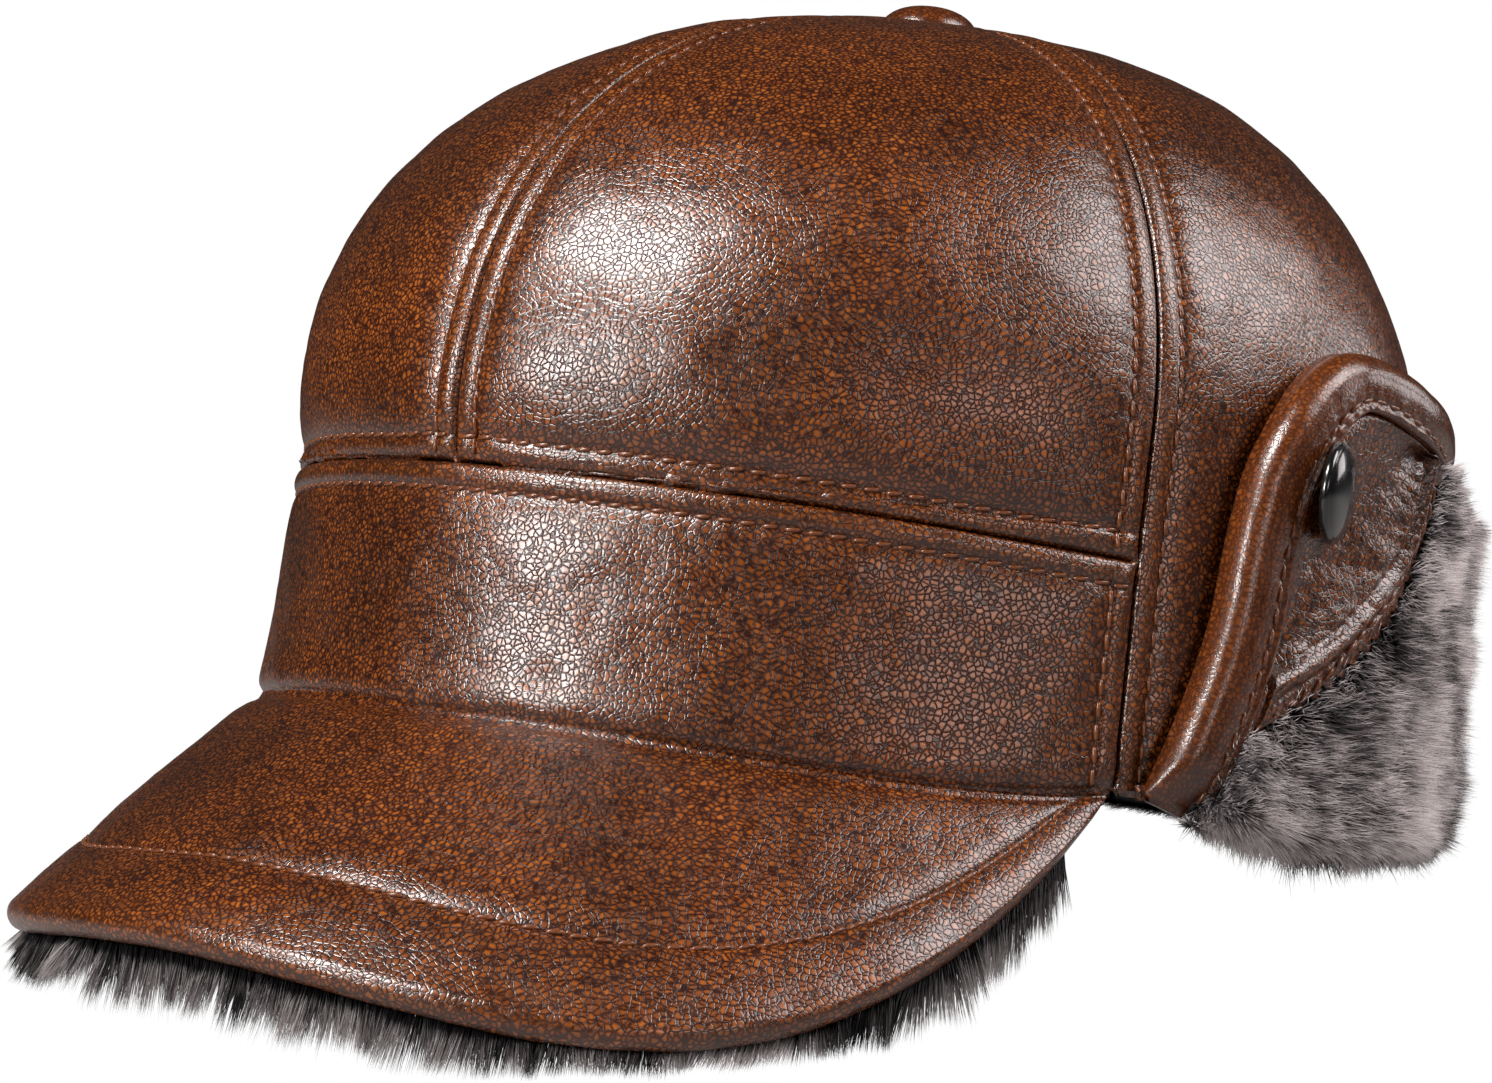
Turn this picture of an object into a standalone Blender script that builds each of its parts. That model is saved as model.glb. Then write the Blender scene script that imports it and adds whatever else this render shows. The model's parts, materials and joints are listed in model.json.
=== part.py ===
"""A leather trapper cap: a six-gore crown over a plain front band, an arched visor lined with fur,
and a fur-lined ear and neck flap that is turned up against the crown and held by a snap on each ear.

The cap is modelled in its own frame: the origin is the centre of the rim, the front is -Y, the wearer's
left is +X and the rim lies in the XY plane. The empty "cap" then pitches it back by PITCH, as it stands
on a table on its visor and its neck flap, and puts the origin of the world under its middle.
The flap is one soft cuff on the real cap. Here it is six stiff panels that turn about chords of the
fold, and their sides slope so that they also fit beside each other when they hang down.
"""

import math

import bpy
import bmesh
from mathutils import Vector

MM = 0.001

# Stance
PITCH = math.radians(9.9)
RIM_ABOVE_TABLE = 24.2 * MM

# Crown, outer surface of the leather
HALF_WIDTH = 100.0 * MM
FRONT_LENGTH = 105.1 * MM
BACK_LENGTH = 89.3 * MM
PLAN_POWER = 1.8
HEIGHT = 125.1 * MM
TOP_SHIFT_BACK = 6.0 * MM
BAND_HEIGHT = 37.9 * MM
BAND_DROP = 6.8 * MM
BAND_TAPER = 0.023
SHOULDER_HEIGHT = 52.3 * MM
SHOULDER_SCALE = 0.988
BAND_END = math.radians(52.0)
FRONT_DOME_POWERS = (2.03, 2.24)
BACK_DOME_POWERS = (1.56, 2.98)
PUFF = 2.0 * MM
SEAMS = (0.0, math.radians(64.4), math.radians(122.0), math.radians(180.0))
VISOR_BLEND = math.radians(14.0)
TOP_HOLE = 7.0 * MM
LINING_TOP_HOLE = 14.0 * MM
LEATHER = 1.6 * MM
LINING_OFFSET = 2.9 * MM
LINING = 5.3 * MM
LINING_SEAM_GAP = 3.2 * MM
GAP = 0.3 * MM
SEAM_GAP = 0.8 * MM

# Sweatband inside the lining
SWEATBAND = 1.2 * MM
SWEATBAND_GAP = 1.4 * MM
SWEATBAND_LOW = 4.0 * MM
SWEATBAND_HEIGHT = 32.0 * MM
SWEATBAND_STEPS = 28

# Visor
VISOR_SLOPE = math.tan(math.radians(36.7))
VISOR_ARCH_RADIUS = 84.4 * MM
VISOR_REACH = 46.5 * MM
VISOR_HALF_WIDTH = 90.5 * MM
VISOR_CORNER = math.radians(66.0)
VISOR_EDGE_POWER = 0.745
VISOR_LIP = 4.8 * MM
VISOR_GAP = 0.6 * MM
VISOR_BOARD = 1.8 * MM
VISOR_FUR = 11.5 * MM
VISOR_LIP_RADIUS = 1.8 * MM
VISOR_BOARD_INSET = 2.5 * MM
VISOR_FUR_INSET = 4.0 * MM

# Flap
FOLD_HEIGHT = -5.0 * MM
FLAP_GAP = 2.0 * MM
FLAP_LEATHER = 1.6 * MM
FLAP_FUR_OFFSET = 4.2 * MM
FLAP_FUR = 9.0 * MM
FLAP_EDGE_WIDTH = 9.0 * MM
FLAP_EDGE = 5.0 * MM
FLAP_BACK_HEIGHT = 58.0 * MM
AXIS_OFFSET = 2.2 * MM
PANEL_GAP = 0.8 * MM
PANEL_SIDE_SLOPE = 1.45
FLAP_TIP = math.radians(65.6)
PANEL_ENDS = (math.radians(106.0), math.radians(143.0), math.radians(180.0))
# Free edge of an ear panel: (angle round the crown, height), from the visor corner to the panel's back
EAR_EDGE = ((65.6, -1.0), (70.3, 24.0), (73.0, 54.0), (81.0, 70.0), (94.0, 66.5), (106.0, 58.0))
# Back edge of the leather facing on an ear panel, from its lower tip to its top
FACING_EDGE = ((75.5, 12.0), (85.0, 23.0), (93.0, 38.0), (95.5, 55.0))
FACING = 1.3 * MM
FACING_OFFSET = 7.6 * MM
FACING_BED = 2.0 * MM
FACING_SOFT_EDGE = 8.5 * MM
FACING_SOFT_RISE = 4.5 * MM
# The fur wraps under the fold and ends behind it
WRAP_DROP = 4.3 * MM
WRAP_END = 4.5 * MM
WRAP_SIDE_GAP = 0.45 * MM
WRAP_TIP = 0.07
FUR_START = math.radians(70.5)
FUR_EDGE_GAP = 0.5 * MM
LEAST_PAD = 0.3 * MM

# Snap on each ear
SNAP_ANGLE = math.radians(80.5)
SNAP_HEIGHT = 48.5 * MM
SNAP_RADIUS = 8.75 * MM
SNAP_RIM = 0.7 * MM
SNAP_DOME = 1.9 * MM
SNAP_POST_RADIUS = 1.6 * MM
SNAP_POST_FOOT = 5.0 * MM
STUD_HOLE_RADIUS = 1.9 * MM
SOCKET_HOLE_RADIUS = 3.6 * MM
POST_HOLE_RADIUS = 2.0 * MM

# Top button
BUTTON_RADIUS = 8.8 * MM
BUTTON_HEIGHT = 5.0 * MM
BUTTON_SKIN = 1.0 * MM
BUTTON_LIFT = 0.6 * MM
SHANK_RADIUS = 2.2 * MM
SHANK_LENGTH = 12.0 * MM
SHANK_PLATE_RADIUS = 6.5 * MM
SHANK_PLATE = 0.8 * MM

PARTS = "trapper_cap"
CUTTERS = "cutters"


def clear_scene():
    for obj in list(bpy.data.objects):
        bpy.data.objects.remove(obj, do_unlink=True)


def collection(name):
    made = bpy.data.collections.new(name)
    bpy.context.scene.collection.children.link(made)
    return made


def material(name, colour, roughness, metallic=0.0):
    made = bpy.data.materials.new(name)
    made.use_nodes = True
    shader = made.node_tree.nodes["Principled BSDF"]
    shader.inputs["Base Color"].default_value = (*colour, 1.0)
    shader.inputs["Roughness"].default_value = roughness
    shader.inputs["Metallic"].default_value = metallic
    return made


def materials():
    return {
        "leather": material("brown_leather", (0.13, 0.036, 0.014), 0.38),
        "fur": material("grey_fur", (0.12, 0.11, 0.115), 0.9),
        "lining": material("lining_plush", (0.05, 0.045, 0.045), 0.9),
        "sweatband": material("sweatband_leather", (0.09, 0.03, 0.015), 0.5),
        "board": material("visor_board", (0.03, 0.03, 0.03), 0.6),
        "black": material("black_enamel", (0.012, 0.012, 0.013), 0.25),
        "metal": material("snap_metal", (0.45, 0.43, 0.4), 0.3, 1.0),
    }


# Geometry of the crown


def mix(a, b, t):
    return a + (b - a) * t


def smooth(t):
    t = min(1.0, max(0.0, t))
    return t * t * (3.0 - 2.0 * t)


def plan_radius(theta):
    """Distance from the axis to the rim at this angle, along X and along Y."""
    s, c = abs(math.sin(theta)), abs(math.cos(theta))
    k = (s**PLAN_POWER + c**PLAN_POWER) ** (-1.0 / PLAN_POWER)
    return k * HALF_WIDTH, k * (FRONT_LENGTH if math.cos(theta) > 0 else BACK_LENGTH)


def dome_powers(theta):
    front = 0.5 + 0.5 * math.cos(theta)
    return (mix(b, f, front) for b, f in zip(BACK_DOME_POWERS, FRONT_DOME_POWERS))


def dome_scale(theta, z):
    """How far the crown reaches at height z, as a share of the rim's radius."""
    p, q = dome_powers(theta)
    s = min(1.0, abs((z - SHOULDER_HEIGHT) / (HEIGHT - SHOULDER_HEIGHT)))
    scale = SHOULDER_SCALE * (1.0 - s**p) ** (1.0 / q)
    if z <= BAND_HEIGHT:
        scale = 1.0 - BAND_TAPER * max(z, 0.0) / BAND_HEIGHT
    if z < SHOULDER_HEIGHT:
        turn = abs(math.atan2(math.sin(theta), math.cos(theta)))
        plain = mix(1.0, SHOULDER_SCALE, smooth(z / SHOULDER_HEIGHT))
        scale = mix(scale, plain, smooth((turn - BAND_END) / (SEAMS[1] - BAND_END)))
    return scale + (puff(theta, z) if z > BAND_HEIGHT else 0.0)


def puff(theta, z):
    """Bulge of a gore between its two seams, as a share of the rim's radius."""
    turn = abs(math.atan2(math.sin(theta), math.cos(theta)))
    last = max(i for i in range(3) if turn >= SEAMS[i] or i == 0)
    across = min(1.0, (turn - SEAMS[last]) / (SEAMS[last + 1] - SEAMS[last]))
    up = min(1.0, (z - BAND_HEIGHT) / (HEIGHT - BAND_HEIGHT))
    return PUFF / HALF_WIDTH * math.sin(math.pi * across) * math.sin(math.pi * up**0.8)


def crown_point(theta, z):
    rx, ry = plan_radius(theta)
    scale = dome_scale(theta, z)
    back = TOP_SHIFT_BACK * min(1.0, max(0.0, z / HEIGHT)) ** 2
    return Vector((rx * math.sin(theta) * scale, -ry * math.cos(theta) * scale + back, z))


def crown_normal(theta, z):
    """Outward normal of the crown, from its slopes along the rim and up the wall."""
    step = 0.5 * MM
    z = max(z, step)
    along = crown_point(theta + 0.01, z) - crown_point(theta - 0.01, z)
    top = min(z + step, HEIGHT * 0.9995)
    up = crown_point(theta, top) - crown_point(theta, z - step)
    return along.cross(up).normalized()


def wall_direction(theta):
    """Level direction straight out of the crown's wall."""
    length = FRONT_LENGTH if math.cos(theta) > 0 else BACK_LENGTH
    return Vector((math.sin(theta) / HALF_WIDTH, -math.cos(theta) / length, 0.0)).normalized()


def wall_point(theta, z, out):
    """A point beside the crown's wall: out from it, level, at height z, also below the rim."""
    return crown_point(theta, z) + wall_direction(theta) * out


def top_angle(theta, hole):
    """The angle up the dome at which the crown is only hole across from its middle."""
    p, q = dome_powers(theta)
    return math.asin((1.0 - (hole / HALF_WIDTH / SHOULDER_SCALE) ** q) ** (1.0 / p))


def dome_height(angle):
    return SHOULDER_HEIGHT + (HEIGHT - SHOULDER_HEIGHT) * math.sin(angle)


def visor_height(x, forward):
    """Height of the visor's top surface: it slopes down ahead and arches down to both sides."""
    return -VISOR_SLOPE * (forward - FRONT_LENGTH) - x * x / (2.0 * VISOR_ARCH_RADIUS)


def rim_height(theta):
    """Height of the crown's lower edge: on the visor in front, just under the rim elsewhere."""
    turn = min(abs(theta), SEAMS[1])
    p = crown_point(turn, 0.0)
    on_visor = visor_height(p.x, -p.y)
    return mix(on_visor, -0.5 * MM, smooth((abs(theta) - SEAMS[1]) / VISOR_BLEND))


def band_seam_height(theta):
    return BAND_HEIGHT - BAND_DROP * (1.0 - math.cos(theta))


def above_band_seam(theta):
    return band_seam_height(theta) + GAP


# Meshes


def new_object(name, group, parent, verts, faces, finish):
    """An object whose mesh is given in the cap's frame, and whose origin is its parent's."""
    origin = Vector(parent.get("at", (0.0, 0.0, 0.0)))
    mesh = bpy.data.meshes.new(name)
    mesh.from_pydata([tuple(v - origin) for v in verts], [], faces)
    mesh.materials.append(finish)
    made = bpy.data.objects.new(name, mesh)
    group.objects.link(made)
    made.parent = parent
    mesh.shade_smooth()
    mesh.set_sharp_from_angle(angle=math.radians(40.0))
    return made


def grid_faces(columns, rows, start=0, flip=False, closed=False):
    """Quads of a grid stored column by column; they face out when columns run round and rows run up."""
    faces = []
    for i in range(columns if closed else columns - 1):
        for j in range(rows - 1):
            a = start + i * rows + j
            b = start + (i + 1) % columns * rows + j
            quad = (a, b, b + 1, a + 1)
            faces.append(quad[::-1] if flip else quad)
    return faces


def sided(columns, side):
    """The grid itself for the left side, or its mirror image for the right side."""
    if side > 0:
        return columns
    return [[Vector((-p.x, p.y, p.z)) for p in column] for column in reversed(columns)]


def sheet(name, group, parent, columns, thickness, finish, closed=False):
    """A sheet of even thickness under an open grid of outer points."""
    verts = [p for column in columns for p in column]
    faces = grid_faces(len(columns), len(columns[0]), closed=closed)
    made = new_object(name, group, parent, verts, faces, finish)
    solid = made.modifiers.new("thickness", "SOLIDIFY")
    solid.thickness = thickness
    solid.offset = -1.0
    solid.use_even_offset = False
    return made


def padding(name, group, parent, inner, outer, finish):
    """A pad of uneven thickness between an inner and an outer grid, closed round its border."""
    count, rows = len(outer), len(outer[0])
    half = count * rows
    verts = [p for column in outer for p in column] + [p for column in inner for p in column]
    faces = grid_faces(count, rows) + grid_faces(count, rows, half, flip=True)
    for i in range(count - 1):
        low, high = i * rows, (i + 1) * rows
        faces.append((low, low + half, high + half, high))
        low, high = low + rows - 1, high + rows - 1
        faces.append((high, high + half, low + half, low))
    for j in range(rows - 1):
        faces.append((j + 1, j + 1 + half, j + half, j))
        last = (count - 1) * rows + j
        faces.append((last, last + half, last + 1 + half, last + 1))
    return new_object(name, group, parent, verts, faces, finish)


def turned(name, group, parent, place, outward, profile, finish, steps=16):
    """A turned piece: the profile (radius, height) runs down its outer side, from axis to axis."""
    mesh = bpy.data.meshes.new(name)
    verts = [(r, 0.0, h) for r, h in profile]
    mesh.from_pydata(verts, [(i, i + 1) for i in range(len(verts) - 1)], [])
    mesh.materials.append(finish)
    made = bpy.data.objects.new(name, mesh)
    group.objects.link(made)
    made.parent = parent
    made.location = place - Vector(parent.get("at", (0.0, 0.0, 0.0)))
    made.rotation_euler = outward.to_track_quat("Z", "Y").to_euler()
    screw = made.modifiers.new("turn", "SCREW")
    screw.steps = steps
    screw.render_steps = steps
    screw.use_merge_vertices = True
    screw.merge_threshold = 0.00001
    screw.use_smooth_shade = True
    return made


def cut_round(target, cutters, parent, place, outward, radius, low, high):
    """Bores a round hole through the target, from low to high along outward."""
    mesh = bpy.data.meshes.new(target.name + "_cutter")
    shape = bmesh.new()
    bmesh.ops.create_cone(
        shape, cap_ends=True, segments=12, radius1=radius, radius2=radius, depth=high - low
    )
    shape.to_mesh(mesh)
    shape.free()
    tool = bpy.data.objects.new(mesh.name, mesh)
    cutters.objects.link(tool)
    tool.hide_render = True
    tool.display_type = "WIRE"
    tool.parent = parent
    middle = place + outward * (low + high) / 2.0
    tool.location = middle - Vector(parent.get("at", (0.0, 0.0, 0.0)))
    tool.rotation_euler = outward.to_track_quat("Z", "Y").to_euler()
    hole = target.modifiers.new("hole", "BOOLEAN")
    hole.operation = "DIFFERENCE"
    hole.solver = "EXACT"
    hole.object = tool


def on_table(p):
    """The point, lifted to the table's height if it lies below: soft fur flattens where it stands."""
    up = Vector((0.0, -math.sin(PITCH), math.cos(PITCH)))
    below = -(p.dot(up) + RIM_ABOVE_TABLE)
    return p + up * below if below > 0 else p


# Crown pieces


def gore_grid(seam_a, seam_b, low, depth, around, up, hole=TOP_HOLE, seam_gap=SEAM_GAP):
    """Columns of a gore between two seams, depth below the outer surface, from low(theta) to the top."""
    columns = []
    for i in range(around + 1):
        theta = mix(seam_a, seam_b, i / around)
        start, top = low(theta), top_angle(theta, hole)
        column = []
        for j in range(up + 1):
            if start < BAND_HEIGHT - 10.0 * MM:
                wall = up // 3
                z = mix(start, BAND_HEIGHT, j / wall)
                first = math.asin((BAND_HEIGHT - SHOULDER_HEIGHT) / (HEIGHT - SHOULDER_HEIGHT))
                z = z if j <= wall else dome_height(mix(first, top, (j - wall) / (up - wall)))
            else:
                first = math.asin((start - SHOULDER_HEIGHT) / (HEIGHT - SHOULDER_HEIGHT))
                z = dome_height(mix(first, top, j / up))
            radius = max(crown_point(theta, z).xy.length - depth, 2.0 * MM)
            share = i / around
            gap = seam_gap / 2.0 / radius
            turn = mix(seam_a + gap, seam_b - gap, share)
            column.append(crown_point(turn, z) - crown_normal(turn, z) * depth)
        columns.append(column)
    return columns


def make_crown(group, cap, finish):
    spans = (("front", 0), ("side", 1), ("back", 2))
    pieces = {}
    for side, word in ((1, "left"), (-1, "right")):
        for part, k in spans:
            span = (SEAMS[k], SEAMS[k + 1])
            low = above_band_seam if k == 0 else rim_height
            outer = gore_grid(*span, low, 0.0, 8 if k == 1 else 6, 8 if k == 0 else 12)
            name = f"crown_{part}_{word}"
            pieces[name] = sheet(name, group, cap, sided(outer, side), LEATHER, finish["leather"])
            inner = gore_grid(*span, rim_height, LINING_OFFSET, 4, 9, LINING_TOP_HOLE, LINING_SEAM_GAP)
            name = f"lining_{part}_{word}"
            sheet(name, group, cap, sided(inner, side), LINING, finish["lining"])
    return pieces


def make_front_band(group, cap, finish):
    """One piece of leather between the two side seams, from the visor up to the band seam."""
    gap = SEAM_GAP / 2.0 / HALF_WIDTH
    columns = []
    for i in range(17):
        theta = mix(-SEAMS[1] + gap, SEAMS[1] - gap, i / 16)
        low, high = rim_height(theta) + GAP, band_seam_height(theta) - GAP
        column = [crown_point(theta, mix(low, high, j / 2)) for j in range(3)]
        columns.append(column)
    sheet("front_band", group, cap, columns, LEATHER, finish["leather"])


def make_sweatband(group, cap, finish):
    depth = LINING_OFFSET + LINING + SWEATBAND_GAP
    columns = []
    for i in range(SWEATBAND_STEPS):
        theta = 2.0 * math.pi * i / SWEATBAND_STEPS
        columns.append([wall_point(theta, z, -depth) for z in (SWEATBAND_LOW, SWEATBAND_HEIGHT)])
    sheet("sweatband", group, cap, columns, SWEATBAND, finish["sweatband"], closed=True)


def make_button(group, cap, finish):
    """A covered button: a leather cover over a metal shell whose shank goes down through the crown."""
    top = Vector((0.0, TOP_SHIFT_BACK, HEIGHT))
    up = Vector((0.0, 0.0, 1.0))
    r, h = BUTTON_RADIUS, BUTTON_HEIGHT
    skin, low = BUTTON_SKIN, BUTTON_LIFT
    arc = [math.radians(a) for a in range(90, -1, -18)]
    dome = [(r * math.cos(a), low + h * math.sin(a)) for a in arc]
    inner = [((r - skin) * math.cos(a), low + (h - skin) * math.sin(a)) for a in reversed(arc)]
    turned("top_button_cover", group, cap, top, up, dome + inner, finish["leather"])
    rs, hs = r - skin - GAP, h - skin - GAP
    shell = [(rs * math.cos(a), low + hs * math.sin(a)) for a in arc]
    foot = -SHANK_LENGTH - SHANK_PLATE
    shank = [(SHANK_RADIUS, low), (SHANK_RADIUS, -SHANK_LENGTH), (SHANK_PLATE_RADIUS, -SHANK_LENGTH)]
    shank += [(SHANK_PLATE_RADIUS, foot), (0.0, foot)]
    turned("top_button_shell", group, cap, top, up, shell + shank, finish["metal"])


# Visor


def visor_plan(t, share, inset):
    """A point of the visor's plan (x, forward): t runs along it, share from the crown to the edge."""
    theta = SEAMS[1] * t
    crown = crown_point(theta, 0.0)
    corner = FRONT_LENGTH * math.cos(VISOR_CORNER)
    reach = FRONT_LENGTH + VISOR_REACH - corner - inset
    a = math.radians(90.0) * t
    x = (VISOR_HALF_WIDTH - inset) * math.sin(a)
    forward = corner + reach * abs(math.cos(a)) ** VISOR_EDGE_POWER
    start = crown + wall_direction(theta) * VISOR_GAP
    return mix(start.x, x, share), mix(-start.y, forward, share)


def visor_surface(t, share, inset, depth):
    """A point under the visor's top surface, depth along its normal."""
    x, forward = visor_plan(t, share, inset)
    normal = Vector((x / VISOR_ARCH_RADIUS, -VISOR_SLOPE, 1.0)).normalized()
    return Vector((x, -forward, visor_height(x, forward))) - normal * depth


def visor_grid(inset, depth, across=20, out=4, end=0.985, first=0.0):
    columns = []
    for i in range(across + 1):
        t = mix(-end, end, i / across)
        shares = [mix(1.0, first, j / out) for j in range(out + 1)]
        columns.append([visor_surface(t, share, inset, depth) for share in shares])
    return columns


def make_visor(group, cap, finish):
    columns = visor_grid(0.0, 0.0)
    lip = visor_grid(0.0, VISOR_LIP, first=0.9, out=1)
    full = []
    for column, drop in zip(columns, lip):
        edge, down = column[0], drop[0] - column[0]
        outward = (column[0] - column[1]).normalized() * VISOR_LIP_RADIUS
        turn = [drop[0] + outward, drop[0] + outward - down * 0.55]
        full.append(turn + [edge + outward * 0.7 + down * 0.12] + column)
    sheet("visor_leather", group, cap, full, LEATHER, finish["leather"])
    under = LEATHER + GAP
    board = visor_grid(VISOR_BOARD_INSET, under, end=0.93, first=0.08)
    sheet("visor_board", group, cap, board, VISOR_BOARD, finish["board"])
    under += VISOR_BOARD + GAP
    top = visor_grid(VISOR_BOARD_INSET, under, end=0.93, first=0.08)
    low = visor_grid(VISOR_FUR_INSET, under + VISOR_FUR, end=0.92, first=0.12)
    low = [[on_table(p) for p in column] for column in low]
    padding("visor_fur", group, cap, low, top, finish["fur"])


# Flap


def spline(points, t):
    """A Catmull-Rom curve through the points, t from 0 to 1."""
    last = len(points) - 1
    i = min(int(t * last), last - 1)
    f = t * last - i
    p0, p1 = points[max(i - 1, 0)], points[i]
    p2, p3 = points[i + 1], points[min(i + 2, last)]
    made = []
    for a, b, c, d in zip(p0, p1, p2, p3):
        square, cube = 2 * a - 5 * b + 4 * c - d, 3 * b - a - 3 * c + d
        made.append((2 * b + (c - a) * f + square * f**2 + cube * f**3) / 2)
    return Vector(made)


def ear_edge(w):
    """Free edge of an ear panel, flattened out: distance along the fold, height."""
    angle, height = spline(EAR_EDGE, w)
    return Vector((math.radians(angle) * HALF_WIDTH, height * MM))


def level_edge(start, end):
    """The free edge of a neck panel, from the angle start to the angle end."""

    def edge(w):
        return Vector((mix(start, end, w) * HALF_WIDTH, FLAP_BACK_HEIGHT))

    return edge


def edge_inset(edge, w, inset):
    """The free edge moved in by inset, kept above the fold."""
    step = 0.01
    run = edge(min(w + step, 1.0)) - edge(max(w - step, 0.0))
    p = edge(w) + Vector((run.y, -run.x)).normalized() * inset
    return Vector((p.x, max(p.y, FOLD_HEIGHT + 0.6 * MM)))


class Panel:
    """One panel of the flap: its span along the fold, its free edge and its joint."""

    def __init__(self, name, start, end, edge, side, tip=False):
        self.name, self.side, self.tip = name, side, tip
        self.start, self.end, self.edge = start, end, edge

    def at(self, flat, out):
        """A point of the panel: flat is (distance along the fold, height), out is from the crown."""
        return wall_point(flat.x / HALF_WIDTH, flat.y, out)

    def between(self, flat, extra=0.0):
        """The same place, pulled in so that the panel keeps its gap to the next one."""
        gap = PANEL_GAP / 2.0 + extra
        low = self.start * HALF_WIDTH + (0.0 if self.tip else gap)
        high = self.end * HALF_WIDTH - gap
        return Vector((min(max(flat.x, low), high), flat.y))

    def room(self, flat):
        """How thick the panel may be here, so that its neighbour clears it when both hang down."""
        back = self.end * HALF_WIDTH - flat.x
        front = back if self.tip else flat.x - self.start * HALF_WIDTH
        slope = (min(back, front) - PANEL_GAP / 2.0) * PANEL_SIDE_SLOPE
        return max(LEAST_PAD, slope - 2.0 * LEAST_PAD)

    def axis(self):
        """The hinge: a level chord of the fold, moved out to halfway between its ends and middle."""
        first = self.start if not self.tip else math.radians(68.0)
        a = wall_point(first, 0.0, AXIS_OFFSET)
        b = wall_point(self.end, 0.0, AXIS_OFFSET)
        middle = wall_point((first + self.end) / 2.0, 0.0, AXIS_OFFSET)
        along = (b - a).normalized()
        outward = along.cross(Vector((0.0, 0.0, 1.0)))
        rise = (middle - a).dot(outward)
        place = (a + b) / 2.0 + outward * rise / 2.0
        place.z = FOLD_HEIGHT
        return place, along

    def mirror(self, columns):
        return sided(columns, self.side)

    def spread(self, count):
        """Shares along the panel, closer together at its sides."""
        shares = [i / count for i in range(count + 1)]
        sides = [0.03, 0.1]
        extra = [1.0 - s for s in sides] + ([] if self.tip else sides)
        return sorted(set(shares + extra))


def facing_share(angle, height):
    """1 where the leather facing lies on an ear panel, 0 beyond its back edge."""
    best, inside = 1.0, 1.0
    for i in range(12):
        a, b = spline(FACING_EDGE, i / 12), spline(FACING_EDGE, (i + 1) / 12)
        pa = Vector((math.radians(a.x) * HALF_WIDTH, a.y * MM))
        pb = Vector((math.radians(b.x) * HALF_WIDTH, b.y * MM))
        run, here = pb - pa, Vector((angle * HALF_WIDTH, height)) - pa
        t = min(1.0, max(0.0, here.dot(run) / run.length_squared))
        gap = here - run * t
        if gap.length < best:
            best = gap.length
            inside = run.x * here.y - run.y * here.x
    reach = best if inside > 0 else -best
    return smooth((reach + FACING_SOFT_EDGE) / FACING_SOFT_RISE)


def make_panel_leather(panel, group, parent, finish):
    columns = []
    for w in panel.spread(10 if panel.tip else 5):
        fold = Vector((mix(panel.start, panel.end, w) * HALF_WIDTH, FOLD_HEIGHT))
        edge = panel.edge(w)
        column = []
        for j in range(6):
            flat = panel.between(fold.lerp(edge, j / 5))
            column.append(panel.at(flat, FLAP_GAP + FLAP_LEATHER))
        columns.append(column)
    name = panel.name + "_leather"
    return sheet(name, group, parent, panel.mirror(columns), FLAP_LEATHER, finish["leather"])


def make_panel_edge(panel, group, parent, finish):
    """The padded leather roll along the free edge."""
    inner, outer = [], []
    for w in panel.spread(14 if panel.tip else 5):
        low, high = [], []
        for j in range(5):
            share = j / 4
            flat = panel.between(edge_inset(panel.edge, w, FLAP_EDGE_WIDTH * (1.0 - share)))
            round_off = math.sqrt(max(0.0, 1.0 - (2.0 * share - 1.0) ** 4))
            thick = min(mix(1.5 * MM, FLAP_EDGE, round_off), panel.room(flat))
            low.append(panel.at(flat, FLAP_FUR_OFFSET))
            high.append(panel.at(flat, FLAP_FUR_OFFSET + thick))
        inner.append(low)
        outer.append(high)
    inner, outer = panel.mirror(inner), panel.mirror(outer)
    padding(panel.name + "_edge", group, parent, inner, outer, finish["leather"])


def fur_bottom(t):
    """Underside of the fur, t from the panel's outside (0) round to the fold (1): out, drop."""
    a = math.radians(90.0) * t
    out = mix(FLAP_FUR, WRAP_END - FLAP_FUR_OFFSET, math.sin(a) ** 1.2)
    return out, WRAP_DROP * math.sin(2.0 * a if t < 0.5 else math.radians(90.0))


def fur_wrap(panel, fold, along):
    """Rows of the pile under the fold, from behind it round to the outside: inner and outer points."""
    low, high = [], []
    grown = 1.0 if not panel.tip else 0.25 + 0.75 * smooth(along * 4.0)
    flat = panel.between(fold, WRAP_SIDE_GAP)
    for t in (1.0, 0.6, 0.3):
        out, drop = fur_bottom(t)
        thin = min(grown, panel.room(flat) / FLAP_FUR)
        under = Vector((flat.x, FOLD_HEIGHT - drop * mix(0.5, 1.0, thin)))
        high.append(on_table(panel.at(under, FLAP_FUR_OFFSET + out * thin)))
        behind = Vector((flat.x, FOLD_HEIGHT - mix(1.2, 0.0, (1.0 - t) / 0.7) * MM))
        low.append(panel.at(behind, FLAP_FUR_OFFSET))
    return low, high


def pile_height(panel, flat, share, along):
    """Thickness of the pile: less beside the edge roll, under the facing and at the panel's tip."""
    full = FLAP_FUR * (1.0 - 0.45 * smooth((share - 0.75) * 4.0))
    if panel.tip:
        full = mix(full, FACING_BED, facing_share(flat.x / HALF_WIDTH, flat.y))
        full *= 0.3 + 0.7 * smooth(along * 5.0)
    return min(full, panel.room(flat))


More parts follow.
